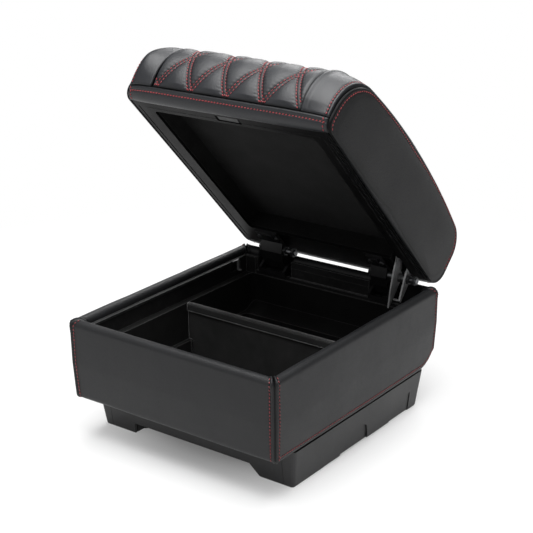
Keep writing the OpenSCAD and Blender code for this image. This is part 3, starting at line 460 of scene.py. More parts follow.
# shells
def finishMesh(bm, name, body, finish):
    mesh = bpy.data.meshes.new(name)
    bm.to_mesh(mesh)
    bm.free()
    mesh.polygons.foreach_set("use_smooth", [True] * len(mesh.polygons))
    mesh.materials.append(finish)
    piece = bpy.data.objects.new(name, mesh)
    scene.collection.objects.link(piece)
    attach(piece, body)
    box = [side / mm for side in piece.dimensions]
    print("  %-16s %6d faces, %.0f x %.0f x %.0f mm" % (name, len(mesh.polygons), *box))
    return piece


# Makes a padded piece of a closed shell, in place of a frame node
def softPiece(bm, name, body, finish, node):
    piece = finishMesh(bm, name, body, finish)
    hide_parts(node)


# Skin over a surface: place(u, w) gives a point in mm, u across and w along, and the third function gives the painted
# shade along seams, kept in the seam attribute
def skinGrid(rows, place, outward, seamShadeAt=None):
    bm = bmesh.new()
    across, along = rows
    bmesh.ops.create_grid(bm, x_segments=across, y_segments=along, size=0.5)
    seamShadeLayer = bm.verts.layers.float.new("seam")
    for vert in bm.verts:
        u, w = vert.co.x + 0.5, vert.co.y + 0.5
        if seamShadeAt:
            vert[seamShadeLayer] = seamShadeAt(u, w)
        vert.co = place(u, w) * mm
    bm.normal_update()
    facing = sum(f.normal.dot(outward(f.calc_center_median())) * f.calc_area() for f in bm.faces)
    if facing < 0:
        bmesh.ops.reverse_faces(bm, faces=bm.faces)
    return bm


def openEdges(bm):
    return [e for e in bm.edges if e.is_boundary]


# Gives a skin its thickness in mm, by a second layer joined along the rim
def closeShell(bm, thick):
    bm.normal_update()
    outer = list(bm.verts)
    copy = bmesh.ops.duplicate(bm, geom=bm.verts[:] + bm.edges[:] + bm.faces[:])
    for vert in outer:
        copy["vert_map"][vert].co = vert.co - vert.normal * thick * mm
    bmesh.ops.reverse_faces(bm, faces=[g for g in copy["geom"] if isinstance(g, bmesh.types.BMFace)])
    bmesh.ops.bridge_loops(bm, edges=openEdges(bm))


def bell(distance, width):
    return exp(-((distance / width) ** 2))


# Depth to which a skin is drawn in beside an edge
def drawnIn(edge, depth, run, power):
    return depth * max(0.0, 1 - edge / run) ** power


# Small waves of the hide between the stitches of a row that lies off mm away
def puckers(along, off, pitch, height, width):
    return height * cos(along * tau / pitch) * bell(off, width)


# Bead, stitch row and puckers beside a seam that lies d mm away
def seamRelief(form, d, along=0.0):
    (bead, place, width), (dent, dentWidth) = form["bead"], form["dent"]
    off = d - form["stitchInset"]
    relief = bead * bell(d - place, width) - dent * bell(off, dentWidth)
    return relief + puckers(along, off, form["stitchPitch"], *form["pucker"])


def softNoise(point, size):
    return noise.fractal(Vector(point) / size, 1.0, 2.0, 2)


# body covers
bodySize = {
    "width": 260.0, "depth": 292.4, "bottom": 42.0, "top": 127.6, "roll": 6.3, "innerEnd": 116.5,
    "lean": 2.3, "upperLean": 0.35, "hemRun": 3, "thick": 2.2, "plumpness": 1.0, "cornerRadius": 6.5,
    "lowCorner": {"front": 5.6, "rear": 33.4, "left": 3.0, "right": 3.0},
    "hem": {"front": -11.0, "rear": -32.5, "left": -11.3, "right": -11.3},
    "edgeCorner": {"front": 6.0, "rear": 34.0},
    "pocketBack": -3.6, "pockets": ((-99.5, -53.0), (53.0, 114.3)), "pocketTop": 125.5, "pocketDrop": 20,
    "inside": 100, "mitre": 0.293, "broad": (0.35, 60, 12), "small": (0.08, 12),
    "tuft": 1.1, "tuftTop": (5, 6), "tuftAside": (2.4, 1.8), "tuftWave": (3.1, 1.7),
    "stitchInset": 4.5, "leftInset": 6.8, "hemInset": 5.5, "stitchPitch": 3.7, "groove": 2.6, "grooveWidth": 0.6,
    "bead": (0.85, 1.8, 0.85), "dent": (0.45, 0.7), "pucker": (0.16, 1.8), "endLength": 13.0, "endShare": 0.2,
    "endRows": (210, 96), "sideRows": (230, 96),
}
rollLine = bodySize["top"] - bodySize["roll"]


# How far a wall leans in at a height, with its tuck under the lower edge
def wallLean(z):
    size = bodySize
    upper, low = size["upperLean"], size["bottom"] + size["hemRun"]
    middle = (size["bottom"] + size["top"] - size["roll"]) / 2
    if z >= rollLine:
        return 0.0
    if z >= middle:
        return -upper * (rollLine - z) / (rollLine - middle)
    if z >= low:
        return -upper - (size["lean"] - upper) * (middle - z) / (middle - low)
    sunk = min(1.0, (low - z) / size["hemRun"])
    return -size["lean"] - size["hemRun"] * (1 - sqrt(max(0.0, 1 - sunk * sunk)))


# Outline of a cover in (n, z), from its tucked lower edge over the roll to the inside
def coverSection(kind):
    size = bodySize
    radius = size["lowCorner"][kind]
    cornerTop = size["bottom"] + radius
    points = [(size["hem"][kind], size["bottom"])]
    count = 24 if radius > size["hemRun"] else 8
    for i in range(count + 1):
        n, z = onArc((wallLean(cornerTop) - radius, cornerTop), radius, -90 + 90 * i / count)[:2]
        if n > points[-1][0]:
            points.append((n, z))
    for i in range(1, 40):
        z = cornerTop + (rollLine - cornerTop) * i / 40
        points.append((wallLean(z), z))
    points += [onArc((-size["roll"], rollLine), size["roll"], 180 * i / 24)[:2] for i in range(25)]
    points.append((-2 * size["roll"], size["innerEnd"]))
    return points


# Point and outward direction on an arc
def onArc(centre, radius, angle):
    a = radians(angle)
    return centre[0] + radius * cos(a), centre[1] + radius * sin(a), cos(a), sin(a)


class SectionLine:
    def __init__(self, points):
        self.points = points
        self.reach = [0.0]
        for a, b in zip(points, points[1:]):
            self.reach.append(self.reach[-1] + dist(a, b))
        self.length = self.reach[-1]

    # Point and normal at a share u of the length
    def at(self, u):
        s = min(max(u, 0.0), 1.0) * self.length
        high = min(bisect_right(self.reach, s), len(self.reach) - 1)
        low = high - 1
        part = (s - self.reach[low]) / max(1e-9, self.reach[high] - self.reach[low])
        (n0, z0), (n1, z1) = self.points[low], self.points[high]
        before, after = self.points[max(0, low - 1)], self.points[min(len(self.points) - 1, high + 1)]
        dn, dz = after[0] - before[0], after[1] - before[1]
        size = hypot(dn, dz)
        return n0 + (n1 - n0) * part, z0 + (z1 - z0) * part, dz / size, -dn / size


coverLines = {kind: SectionLine(coverSection(kind)) for kind in ("front", "rear", "left", "right")}


def halfLength(kind):
    return (bodySize["depth"] if kind in ("left", "right") else bodySize["width"]) / 2


# Spreads the rows so that they are close together near both corner seams
def endSpread(q, half):
    t, share = abs(2 * q - 1), bodySize["endShare"]
    edge = 1 - bodySize["endLength"] / half
    w = t / (1 - share) * edge if t < 1 - share else edge + (t - 1 + share) / share * (1 - edge)
    return copysign(w, q - 0.5)


# Height of a side cover's lower edge, which rises round both corners
def lowerEdge(s):
    radius = bodySize["edgeCorner"]["rear" if s > 0 else "front"]
    past = max(0.0, abs(s) - (bodySize["depth"] / 2 - radius))
    return bodySize["bottom"] + radius - sqrt(max(0.0, radius * radius - past * past))


def coverPoint(kind, q, u):
    size = bodySize
    side = kind in ("left", "right")
    half = halfLength(kind)
    n, z, nn, nz = coverLines[kind].at(u)
    mitre = n if z > rollLine or (nn < -0.5 and z > size["inside"]) else wallLean(z)
    corner = max(size["cornerRadius"] + min(mitre, 0), 1.2)
    end = half + mitre - size["mitre"] * corner
    s = endSpread(q, half) * end
    a = half + mitre - abs(s)
    rounding = corner - sqrt(max(0.0, corner ** 2 - (corner - a) ** 2)) if a < corner else 0.0
    d = end - abs(s)
    if kind == "rear" and n < size["pocketBack"] and z > 110:
        for low, high in size["pockets"]:
            if low < s < high:  # the roll is cut away for the hinges
                sunk = (size["pocketBack"] - n) / (2 * size["roll"] + size["pocketBack"])
                n, z, nn, nz = size["pocketBack"], size["pocketTop"] - size["pocketDrop"] * sunk, -1.0, 0.0
    outside = nn > 0.5
    face = min(1.0, max(0.0, (z - size["bottom"]) / (rollLine - size["bottom"])))
    relief = size["plumpness"] * sin(pi * face) * (1 - (s / end) ** 6) if outside else 0.0
    place = {"front": (s, -150, z), "rear": (s, 150, z), "left": (-130, s, z), "right": (130, s, z)}[kind]
    (broad, broadGrain, fade), (small, smallGrain) = size["broad"], size["small"]
    relief += broad * softNoise(place, broadGrain) * min(1.0, d / fade) + small * softNoise(place, smallGrain)
    relief += seamRelief(size, d, z if z < rollLine else n) - size["groove"] * bell(d, size["grooveWidth"])
    if z > rollLine - 6 and n > -size["roll"] - 2:  # the hide bunches up where the seam turns over the roll
        (down, tall), (aside, wide), (waveZ, waveN) = size["tuftTop"], size["tuftAside"], size["tuftWave"]
        bunch = bell(z - size["top"] + down, tall) * bell(d - aside, wide)
        relief += size["tuft"] * bunch * (0.6 + 0.4 * sin(waveZ * z + waveN * n))
    if side and outside:
        relief -= 0.4 * bell(z - size["bottom"] - size["hemInset"], 0.9) * min(1.0, d / 8)
    shift = relief - rounding
    n += shift * nn
    z += shift * nz
    if not side:
        y = size["depth"] / 2 + n
        return Vector((s, -y if kind == "front" else y, z))
    if z < rollLine:
        z = rollLine - (rollLine - z) * (rollLine - lowerEdge(s)) / (rollLine - size["bottom"])
    x = size["width"] / 2 + n
    return Vector((-x if kind == "left" else x, s, z))


# Painted shade along the corner seam and its stitch row
def coverSeamShade(kind, q):
    half = halfLength(kind)
    d = (1 - abs(endSpread(q, half))) * half
    return max(1.5 * bell(d, 0.65), 0.5 * bell(d - bodySize["stitchInset"], 1.0))


def coverOut(p):
    return Vector((p.x, p.y, 0.4 * (p.z - 0.08)))


def coverPiece(kind):
    rows = bodySize["sideRows" if kind in ("left", "right") else "endRows"]
    bm = skinGrid(rows, lambda q, u: coverPoint(kind, q, u), coverOut, lambda q, u: coverSeamShade(kind, q))
    closeShell(bm, bodySize["thick"])
    softPiece(bm, "cover" + kind.capitalize(), "console", bodyLeather, "cover_" + kind)


for kind in coverLines:
    coverPiece(kind)
print("body covers made")

# lid profile
lid = {
    "front": 161.0, "rear": 142.9, "width": 252.0, "height": 78.0, "nose": 10.0, "heel": 22.0, "heelSeam": 2,
    "brow": 48.7, "browLift": 10, "tail": 26.4, "tailDrop": 8.4, "crestY": 4.0, "bulge": 4.5, "strip": 31.0,
    "crown": 11.0, "crownEnd": 0.45, "crownRun": 55.0, "crownSide": 2, "lean": 0.12, "gap": 0.3, "edge": 0.5,
    "z": 128.6, "angle": 47.0, "hingeY": 138.0, "hingeZ": 113.0, "margin": 0.2,
}
browC = (-lid["front"] + lid["brow"], lid["nose"] + lid["browLift"])
tailC = (lid["rear"] - lid["tail"], lid["height"] - lid["tail"] - lid["tailDrop"])
crestR = (((lid["crestY"] - browC[0]) ** 2 + (lid["height"] - browC[1]) ** 2 - lid["brow"] ** 2)
          / (2 * (lid["height"] - browC[1] - lid["brow"])))
crestC = (lid["crestY"], lid["height"] - crestR)
seamRear = lid["heel"] + lid["heelSeam"]
browEnd = 90 + degrees(atan((lid["crestY"] - browC[0]) / (browC[1] - crestC[1])))
tailStart = 90 - degrees(atan((tailC[0] - lid["crestY"]) / (tailC[1] - crestC[1])))
runParts = [browC[1] - lid["nose"], radians(180 - browEnd) * lid["brow"],
            radians(browEnd - tailStart) * crestR, radians(tailStart) * lid["tail"],
            tailC[1] - seamRear]
runLength = sum(runParts)
sideBack = lid["width"] / 2 - lid["bulge"]
quiltHalf = sideBack - lid["edge"] - lid["gap"] - lid["strip"]
lidTurn = radians(lid["angle"])


# Point and normal of the lid's outline, t mm behind the front seam
def runPoint(t):
    t = min(max(t, 0.0), runLength)
    if t < runParts[0]:
        return -lid["front"], lid["nose"] + t, -1.0, 0.0
    t -= runParts[0]
    arcs = ((browC, lid["brow"], 180), (crestC, crestR, browEnd), (tailC, lid["tail"], tailStart))
    for (centre, radius, begin), part in zip(arcs, runParts[1:4]):
        if t < part:
            return onArc(centre, radius, begin - degrees(t / radius))
        t -= part
    return lid["rear"], max(seamRear, tailC[1] - t), 1.0, 0.0


# From 0 to runLength, less a hair's breadth at both end seams
def runAt(w):
    return lid["margin"] + w * (runLength - 2 * lid["margin"])


# Rise of the padding over the outline: full in the middle, less at the end seams
def crownAt(x, t=0.0):
    near = max(0.0, min(t, runLength - t, lid["crownRun"]))
    share = lid["crownEnd"] + (1 - lid["crownEnd"]) * sin(pi / 2 * near / lid["crownRun"])
    lean = 1 - lid["lean"] * x / (lid["width"] / 2)  # the padding stands a little higher at the left
    return lid["crown"] * share * lean * (1 - min(1.0, abs(x) / (lid["width"] / 2 - lid["crownSide"])) ** 8)


# Turns (y, z) about the hinge pins
def turned(y, z, angle):
    dy, dz = y - lid["hingeY"], z - lid["hingeZ"]
    return (lid["hingeY"] + dy * cos(angle) + dz * sin(angle),
            lid["hingeZ"] - dy * sin(angle) + dz * cos(angle))


# Carries a point of the closed lid to where the lid stands open
def opened(x, y, z):
    return Vector((x, *turned(y, z, lidTurn)))


# Point over an outline that gives (y, v) and its normal
def raisedPoint(x, outline, raised):
    y, v, ny, nv = outline
    return opened(x, y + raised * ny, lid["z"] + v + raised * nv)


def lidPoint(x, t, raised):
    return raisedPoint(x, runPoint(t), raised)


lidMiddle = opened(0, -9, lid["z"] + 30) * mm


def lidOut(p):
    return p - lidMiddle


# quilted panel
quilt = {
    "diamondLength": 76.0, "diamondWidth": (quiltHalf - 3.0) / 2, "shift": 2.5, "start": 1.0, "rowGap": 2.0,
    "puff": 3.1, "roundness": 0.55, "flat": 2.4, "dent": (0.85, 0.85), "ridge": (0.5, 1.1), "pucker": (0.22, 2.0),
    "puckerAside": 1.6, "stitchPitch": 3.8, "sag": (0.35, 26), "depth": 2.0,
    "tuckLeft": (2.8, 3.2, 1.6), "tuckRight": (1.2, 1.4, 1.6), "tuckEnds": (1.6, 2.5, 1.6),
    "sideFade": (5, 0.15), "endFade": (6, 0.1), "rows": (176, 420),
}
lineGap = 1 / hypot(1 / quilt["diamondWidth"], 1 / quilt["diamondLength"])


# Distances in mm to the nearest sewn line of each family
def toLines(x, t):
    across, along = (x - quilt["shift"]) / quilt["diamondWidth"], (t - quilt["start"]) / quilt["diamondLength"]
    a, b = across + along, across - along
    return abs(a - round(a)) * lineGap, abs(b - round(b)) * lineGap


# Two stitched dents with a ridge between them
def channel(d, along):
    off = d - quilt["rowGap"]
    (dent, dentWidth), (ridge, ridgeWidth) = quilt["dent"], quilt["ridge"]
    waves = puckers(along, off - quilt["puckerAside"], quilt["stitchPitch"], *quilt["pucker"])
    return ridge * bell(d, ridgeWidth) - dent * bell(off, dentWidth) + waves


def pillow(x, t):
    da, db = toLines(x, t)
    rise = 1.0
    for d in (da, db):
        inward = max(0.0, d - quilt["rowGap"] * 0.6) / (lineGap - quilt["flat"])
        rise *= sin(pi * min(0.5, inward))
    along = t * hypot(1, quilt["diamondWidth"] / quilt["diamondLength"])
    sag, grain = quilt["sag"]
    height = quilt["puff"] * rise ** quilt["roundness"] + channel(da, along) + channel(db, along)
    return height + sag * softNoise((x, t, 3), grain) * rise


def quiltHeight(x, t):
    edge = quiltHalf - abs(x)
    ends = min(t, runLength - t)
    (sideRun, sideLeft), (endRun, endLeft) = quilt["sideFade"], quilt["endFade"]
    fade = min(1.0, edge / sideRun + sideLeft) * min(1.0, ends / endRun + endLeft)
    tuck = drawnIn(edge, *quilt["tuckLeft" if x < 0 else "tuckRight"]) + drawnIn(ends, *quilt["tuckEnds"])
    return crownAt(x, t) + pillow(x, t) * fade - tuck


def quiltPlace(u, w):
    return (2 * u - 1) * quiltHalf, runAt(w)


def quiltPoint(u, w):
    x, t = quiltPlace(u, w)
    return lidPoint(x, t, quiltHeight(x, t))


# Painted shade along the quilt's stitched lines, in the dents beside them and at the tucked edges
def quiltSeamShade(u, w):
    x, t = quiltPlace(u, w)
    d = min(toLines(x, t))
    edge = min(quiltHalf - abs(x), t, runLength - t)
    rows = max(bell(off - quilt["rowGap"], 1.1) for off in toLines(x, t))
    return max(0.7 * rows, 0.35 * bell(d, 4), bell(edge, 1.6))


runSamples = [(t, *runPoint(t)[:2]) for t in [runLength * i / 900 for i in range(901)]]


def nearestRun(y, v):
    return min(runSamples, key=lambda s: (s[1] - y) ** 2 + (s[2] - v) ** 2)[0]


def quiltedPanel():
    bm = skinGrid(quilt["rows"], quiltPoint, lidOut, quiltSeamShade)
    walls = bmesh.ops.extrude_edge_only(bm, edges=openEdges(bm))
    fresh = [g for g in walls["geom"] if isinstance(g, bmesh.types.BMVert)]
    freshEdges = [g for g in walls["geom"] if isinstance(g, bmesh.types.BMEdge) and g.is_boundary]
    atSide = {vert: abs(abs(vert.co.x) - quiltHalf * mm) < 1e-6 for vert in fresh}
    for vert in fresh:  # the underside is straight across, so each wall ends on the inner profile
        y, z = turned(vert.co.y / mm, vert.co.z / mm, -lidTurn)
        vert.co = lidPoint(vert.co.x / mm, nearestRun(y, z - lid["z"]), -quilt["depth"]) * mm
    sides = [e for e in freshEdges if all(atSide[v] for v in e.verts) and e.verts[0].co.x * e.verts[1].co.x > 0]
    bmesh.ops.bridge_loops(bm, edges=sides)
    bmesh.ops.holes_fill(bm, edges=openEdges(bm), sides=0)
    softPiece(bm, "quiltedPanel", "lid", lidLeather, "quilted_panel")


quiltedPanel()
print("quilted panel made: run", round(runLength, 1), "mm, lines", round(lineGap, 1), "mm apart")

# top strips
strip = {
    "thick": 2.0, "stitchInset": 4.6, "stitchPitch": 3.7, "dent": (0.45, 0.85), "pucker": (0.15, 2.0),
    "plump": {-1: 3.4, 1: 0.2}, "plumpRun": 30, "brow": (5.5, 26, 20), "rise": 2.0, "riseRun": 12,
    "fold": (1.6, 2.2, 2.4), "innerTuck": {-1: (2.6, 1.8, 1.8), 1: (1.3, 1.3, 1.8)},
    "outerTuck": (2.0, 1.6, 1.8), "bead": (0.75, 2.2, 1.0), "tuckEnds": (1.4, 2.4, 1.6), "wander": (0.4, 45),
    "rows": (44, 340),
}
stripIn, stripOut = quiltHalf + lid["gap"], sideBack - lid["edge"]
stripWidth = stripOut - stripIn


def stripHeight(side, x, t):
    inner, outer = abs(x) - stripIn, stripOut - abs(x)
    ends = min(t, runLength - t)
    across = min(1.0, max(0.0, inner / stripWidth))
    height = crownAt(x, t) + strip["plump"][side] * sin(pi * across) * min(1.0, ends / strip["plumpRun"])
    if side < 0:  # the left one swells over the brow
        brow, place, run = strip["brow"]
        height += brow * sin(pi * across ** 2) * bell(t - place, run)
    else:  # the right one rises to a fold beside the quilting
        fold, place, run = strip["fold"]
        height += strip["rise"] * (1 - across) * min(1.0, ends / strip["riseRun"]) + fold * bell(inner - place, run)
    height += seamRelief(strip, outer, t) - drawnIn(inner, *strip["innerTuck"][side])
    height -= drawnIn(outer, *strip["outerTuck"]) + drawnIn(ends, *strip["tuckEnds"])
    wander, grain = strip["wander"]
    return height + wander * softNoise((x, t, 7), grain)


def stripPiece(name, side, node):
    def at(u, w):
        x, t = side * (stripIn + u * stripWidth), runAt(w)
        return lidPoint(x, t, stripHeight(side, x, t))

    # Painted shade along both edges and the outer stitch row
    def seam(u, w):
        inner, outer = u * stripWidth, (1 - u) * stripWidth
        return max(bell(inner, 1.2), bell(outer, 1.2), 0.5 * bell(outer - strip["stitchInset"], 1.0))

    bm = skinGrid(strip["rows"], at, lidOut, seam)
    closeShell(bm, strip["thick"])
    softPiece(bm, name, "lid", lidLeather, node)


stripPiece("topStripLeft", -1, "top_strip_left")
stripPiece("topStripRight", 1, "top_strip_right")

# lid side panels
sidePanel = {
    "centre": (-9.0, 38.0), "edge": 1.4, "stitchInset": 5.0, "stitchPitch": 3.7,
    "dent": (0.4, 0.9), "bead": (0.65, 2.1, 1.0), "pucker": (0.0, 1.0),
    "fullness": 6, "wander": (0.35, 55, 10), "back": sideBack - 0.2, "backGap": 0.3, "ringPower": 1.7,
    "rows": (420, 40),
}


def onHeel(a):
    return onArc((lid["rear"] - lid["heel"], lid["heel"]), lid["heel"], a)


def onNose(a):
    return onArc((-lid["front"] + lid["nose"], lid["nose"]), lid["nose"], a)


def lidOutline(count):
    points = [runPoint(runLength * i / count)[:2] for i in range(count + 1)]
    points += [onHeel(a)[:2] for a in range(-6, -91, -6)]
    low, first = points[-1], onNose(-90)[:2]
    points += [(low[0] + (first[0] - low[0]) * i / 40, low[1] + (first[1] - low[1]) * i / 40) for i in range(1, 40)]
    points += [onNose(a)[:2] for a in range(-90, -179, -8)]
    return points + points[:1]


sideRim = SectionLine(lidOutline(260))


def rimReach(y, v):
    return hypot(y - sidePanel["centre"][0], v - sidePanel["centre"][1])


def sidePoint(side, u, k):
    y, v = sideRim.at(u)[:2]
    cy, cv = sidePanel["centre"]
    d = (1 - k) * rimReach(y, v)  # distance from the rim, about
    edge = sidePanel["edge"]
    rise = edge * sqrt(max(0.0, 1 - max(0.0, 1 - d / edge) ** 2))
    rise += (lid["bulge"] - edge) * (1 - k ** sidePanel["fullness"])
    rise += seamRelief(sidePanel, d)
    py, pv = cy + (y - cy) * k, cv + (v - cv) * k
    wander, grain, fade = sidePanel["wander"]
    rise += wander * softNoise((side * 40, py, pv), grain) * min(1.0, d / fade)
    return opened(side * (sidePanel["back"] + max(rise, 0.05)), py, lid["z"] + pv)


# Share of the way to the middle, with the rings close together near the rim
def ringOf(w):
    return 1 - w ** sidePanel["ringPower"]


# Painted shade along the rim and its stitch row
def sideSeamShade(u, w):
    d = (1 - ringOf(w)) * 60
    return bell(d, 1.5) + 0.4 * bell(d - sidePanel["stitchInset"], 1.2)


def sidePiece(name, side, node):
    bm = skinGrid(sidePanel["rows"], lambda u, w: sidePoint(side, u, ringOf(w)),
                  lambda p: Vector((side, 0, 0)), sideSeamShade)
    bmesh.ops.remove_doubles(bm, verts=bm.verts, dist=2e-5)
    back = bmesh.ops.extrude_edge_only(bm, edges=openEdges(bm))
    for vert in [g for g in back["geom"] if isinstance(g, bmesh.types.BMVert)]:
        vert.co.x = side * (sidePanel["back"] - sidePanel["backGap"]) * mm
    bmesh.ops.holes_fill(bm, edges=openEdges(bm), sides=0)
    softPiece(bm, name, "lid", shadedSideLeather, node)


sidePiece("sidePanelLeft", -1, "side_panel_left")
sidePiece("sidePanelRight", 1, "side_panel_right")

# end bands
band = {
    "thick": 2.0, "half": sideBack - lid["edge"], "stitchInset": 4.6, "stitchPitch": 3.7, "frontArc": (-92, 86.5),
    "crownShare": 0.6, "bead": (1.0, 1.6, 1.3), "dent": (0.5, 0.8), "pucker": (0.15, 1.8),
    "sideTuck": (1.8, 2.0, 1.8), "sideRow": (0.4, 5, 0.8), "wander": (0.25, 30, 20), "lowest": -1.0,
    "seamReach": 18, "rows": (240, 44),
}
rearRelief = {**band, "bead": (0.6, 1.6, 1.3), "pucker": (0.0, 1.8)}
frontArc = band["frontArc"][1] / 57.3  # in radians, near enough
rearRun = radians(90) * lid["heel"]


# Relief beside the seam, less what the two ends are drawn in
def bandRelief(form, x, toSeam):
    edge = band["half"] - abs(x)
    row, rowPlace, rowWidth = band["sideRow"]
    return seamRelief(form, toSeam, x) - drawnIn(edge, *band["sideTuck"]) - row * bell(edge - rowPlace, rowWidth)


def frontRadius(x):
    return lid["nose"] + crownAt(x) * band["crownShare"]


def frontBandPoint(u, w):
    x = (2 * u - 1) * band["half"]
    start, arc = band["frontArc"]
    toSeam = (1 - w) * frontArc * frontRadius(x)
    wander, grain, stretch = band["wander"]
    raised = crownAt(x) * sqrt(w) + bandRelief(band, x, toSeam)
    raised += wander * softNoise((x, w * stretch, 11), grain)
    return raisedPoint(x, onNose(start - arc * w), raised)


def rearBandPoint(u, w):
    x = (2 * u - 1) * band["half"]
    outline = onHeel(-90 * w) if w > 0.02 else (lid["rear"], seamRear - 0.2, 1.0, 0.0)
    raised = (crownAt(x) * (1 - w) if w < 0.98 else 0.0) + bandRelief(rearRelief, x, w * rearRun)
    return raisedPoint(x, outline, max(raised, band["lowest"]))


def bandPiece(name, place, node, seamW):
    # Painted shade along the end seam and both ends
    def seam(u, w):
        return max(bell((w - seamW) * band["seamReach"], 1.2), bell((1 - abs(2 * u - 1)) * band["half"], 1.3))

    bm = skinGrid(band["rows"], place, lidOut, seam)
    closeShell(bm, band["thick"])
    softPiece(bm, name, "lid", lidLeather, node)


bandPiece("frontBand", frontBandPoint, "front_band", 1)
bandPiece("rearBand", rearBandPoint, "rear_band", 0)

# foam slab
foam = {"outer": 2.9, "thick": 10.4, "half": sideBack - 1.0, "ends": 6.5, "rows": (40, 120)}


def foamPiece():
    def at(u, w):
        t = foam["ends"] + w * (runLength - 2 * foam["ends"])
        return lidPoint((2 * u - 1) * foam["half"], t, -foam["outer"])

    bm = skinGrid(foam["rows"], at, lidOut)
    closeShell(bm, foam["thick"])
    softPiece(bm, "lidFoam", "lid", cutFoam, "lid_foam")


foamPiece()
print("lid covers made")

# stitches
thread = {"length": 2.5, "width": 1.25, "height": 0.95, "lift": 0.42, "slant": (0.985, 0.17)}
sphereTurn = Matrix.Rotation(pi / 2, 4, "Y")  # the poles lie at the two ends of a stitch
stitchGrow = Matrix.Diagonal((*(thread[k] / 2 * mm for k in ("length", "width", "height")), 1))


# Sews along a path: places are points in mm on the surface with their normals
def sewRow(whole, points, normals, pitch):
    bm = bmesh.new()
    travelled, due = 0.0, pitch * 0.5
    forward, sideways = thread["slant"]
    for a, b, upA, upB in zip(points, points[1:], normals, normals[1:]):
        step = (b - a).length
        while due <= travelled + step and step > 1e-9:
            part = (due - travelled) / step
            along = (b - a).normalized()
            across = (upA + (upB - upA) * part).normalized().cross(along).normalized()
            up = along.cross(across).normalized()
            middle = a + (b - a) * part + up * thread["lift"]
            slant = along * forward + across * sideways
            turn = Matrix((slant.normalized(), up.cross(slant).normalized(), up)).transposed().to_4x4()
            bmesh.ops.create_uvsphere(bm, u_segments=6, v_segments=4, radius=1,
                                      matrix=Matrix.Translation(middle * mm) @ turn @ stitchGrow @ sphereTurn)
            due += pitch
        travelled += step
    row = bpy.data.meshes.new("row")  # each row is sewn by itself, which is quick, and then added
    bm.to_mesh(row)
    bm.free()
    whole.from_mesh(row)
    bpy.data.meshes.remove(row)


# Follows a curve given in the surface's own two numbers
def sewOn(bm, place, curve, pitch, outward=lidOut):
    points, normals = [], []
    tiny = 1e-4
    for u, w in curve:
        here = place(u, w)
        du, dw = place(u + tiny, w) - place(u - tiny, w), place(u, w + tiny) - place(u, w - tiny)
        normal = du.cross(dw).normalized()
        if normal.dot(outward(here * mm)) < 0:
            normal.negate()
        points.append(here)
        normals.append(normal)
    sewRow(bm, points, normals, pitch)


# Even steps from one number to another
def steps(low, high, count):
    return [low + (high - low) * i / count for i in range(count + 1)]


quiltRow = {"edge": 2.0, "end": 1.5, "points": 360}


# Two rows beside every line of the lattice
def quiltStitches():
    bm = bmesh.new()
    limit = quiltHalf - quiltRow["edge"]
    wide, long = quilt["diamondWidth"], quilt["diamondLength"]
    turns = int(runLength / long + limit / wide) + 2

    def flat(x, t):
        return lidPoint(x, t, quiltHeight(x, t))

    for family in (1, -1):
        for k in range(-turns, turns + 1):
            for side in (-1, 1):
                # on the line x/wide + family*t/long = k, moved sideways by the row gap
                line = k + side * quilt["rowGap"] / lineGap
                curve = [(quilt["shift"] + wide * (line - family * (t - quilt["start"]) / long), t)
                         for t in steps(quiltRow["end"], runLength - quiltRow["end"], quiltRow["points"])]
                curve = [place for place in curve if abs(place[0]) <= limit]
                if len(curve) > 3:
                    sewOn(bm, flat, curve, quilt["stitchPitch"])
    finishMesh(bm, "stitchesQuilt", "lid", redThread)


lidRow = {"end": 2, "under": 10, "points": 260, "leastReach": 20.0, "corner": 5.0,
          "front": (0.12, 0.96), "rear": (0.04, 0.74), "endPoints": 40, "across": (0.012, 0.988), "acrossPoints": 300}


def lidStitches():
    bm = bmesh.new()
    pitch, inset = strip["stitchPitch"], band["stitchInset"]
    for side in (-1, 1):
        x = side * (stripOut - strip["stitchInset"])
        curve = [(x, t) for t in steps(lidRow["end"], runLength - lidRow["end"], lidRow["points"])]
        sewOn(bm, lambda u, w: lidPoint(u, w, stripHeight(side, u, w)), curve, pitch)
        # the row on the side panel starts under the nose and follows the whole run
        curve = []
        for s in steps(-lidRow["under"], runLength, lidRow["points"]):
            u = s / sideRim.length
            reach = max(lidRow["leastReach"], rimReach(*sideRim.at(u % 1)[:2]))
            curve.append((u, 1 - sidePanel["stitchInset"] / reach))
        sewOn(bm, lambda u, w: sidePoint(side, u % 1, w), curve, pitch, lambda p: Vector((side, 0, 0)))
        u = 0.5 + side * (0.5 - lidRow["corner"] / (2 * band["half"]))
        sewOn(bm, frontBandPoint, [(u, w) for w in steps(*lidRow["front"], lidRow["endPoints"])], pitch)
        sewOn(bm, rearBandPoint, [(u, w) for w in steps(*lidRow["rear"], lidRow["endPoints"])], pitch)
    across = steps(*lidRow["across"], lidRow["acrossPoints"])
    front = [(u, 1 - inset / (frontRadius((2 * u - 1) * band["half"]) * frontArc)) for u in across]
    sewOn(bm, frontBandPoint, front, pitch)
    sewOn(bm, rearBandPoint, [(u, inset / rearRun) for u in across], pitch)
    finishMesh(bm, "stitchesLid", "lid", redThread)


# The q whose row lies d mm from the corner seam, by the even spread near it
def coverRowAt(d):
    return 1 - bodySize["endShare"] * d / (2 * bodySize["endLength"])


bodyRow = {"foot": 1.5, "inner": -6.5, "inside": 100, "points": 300, "hemPoints": 400}


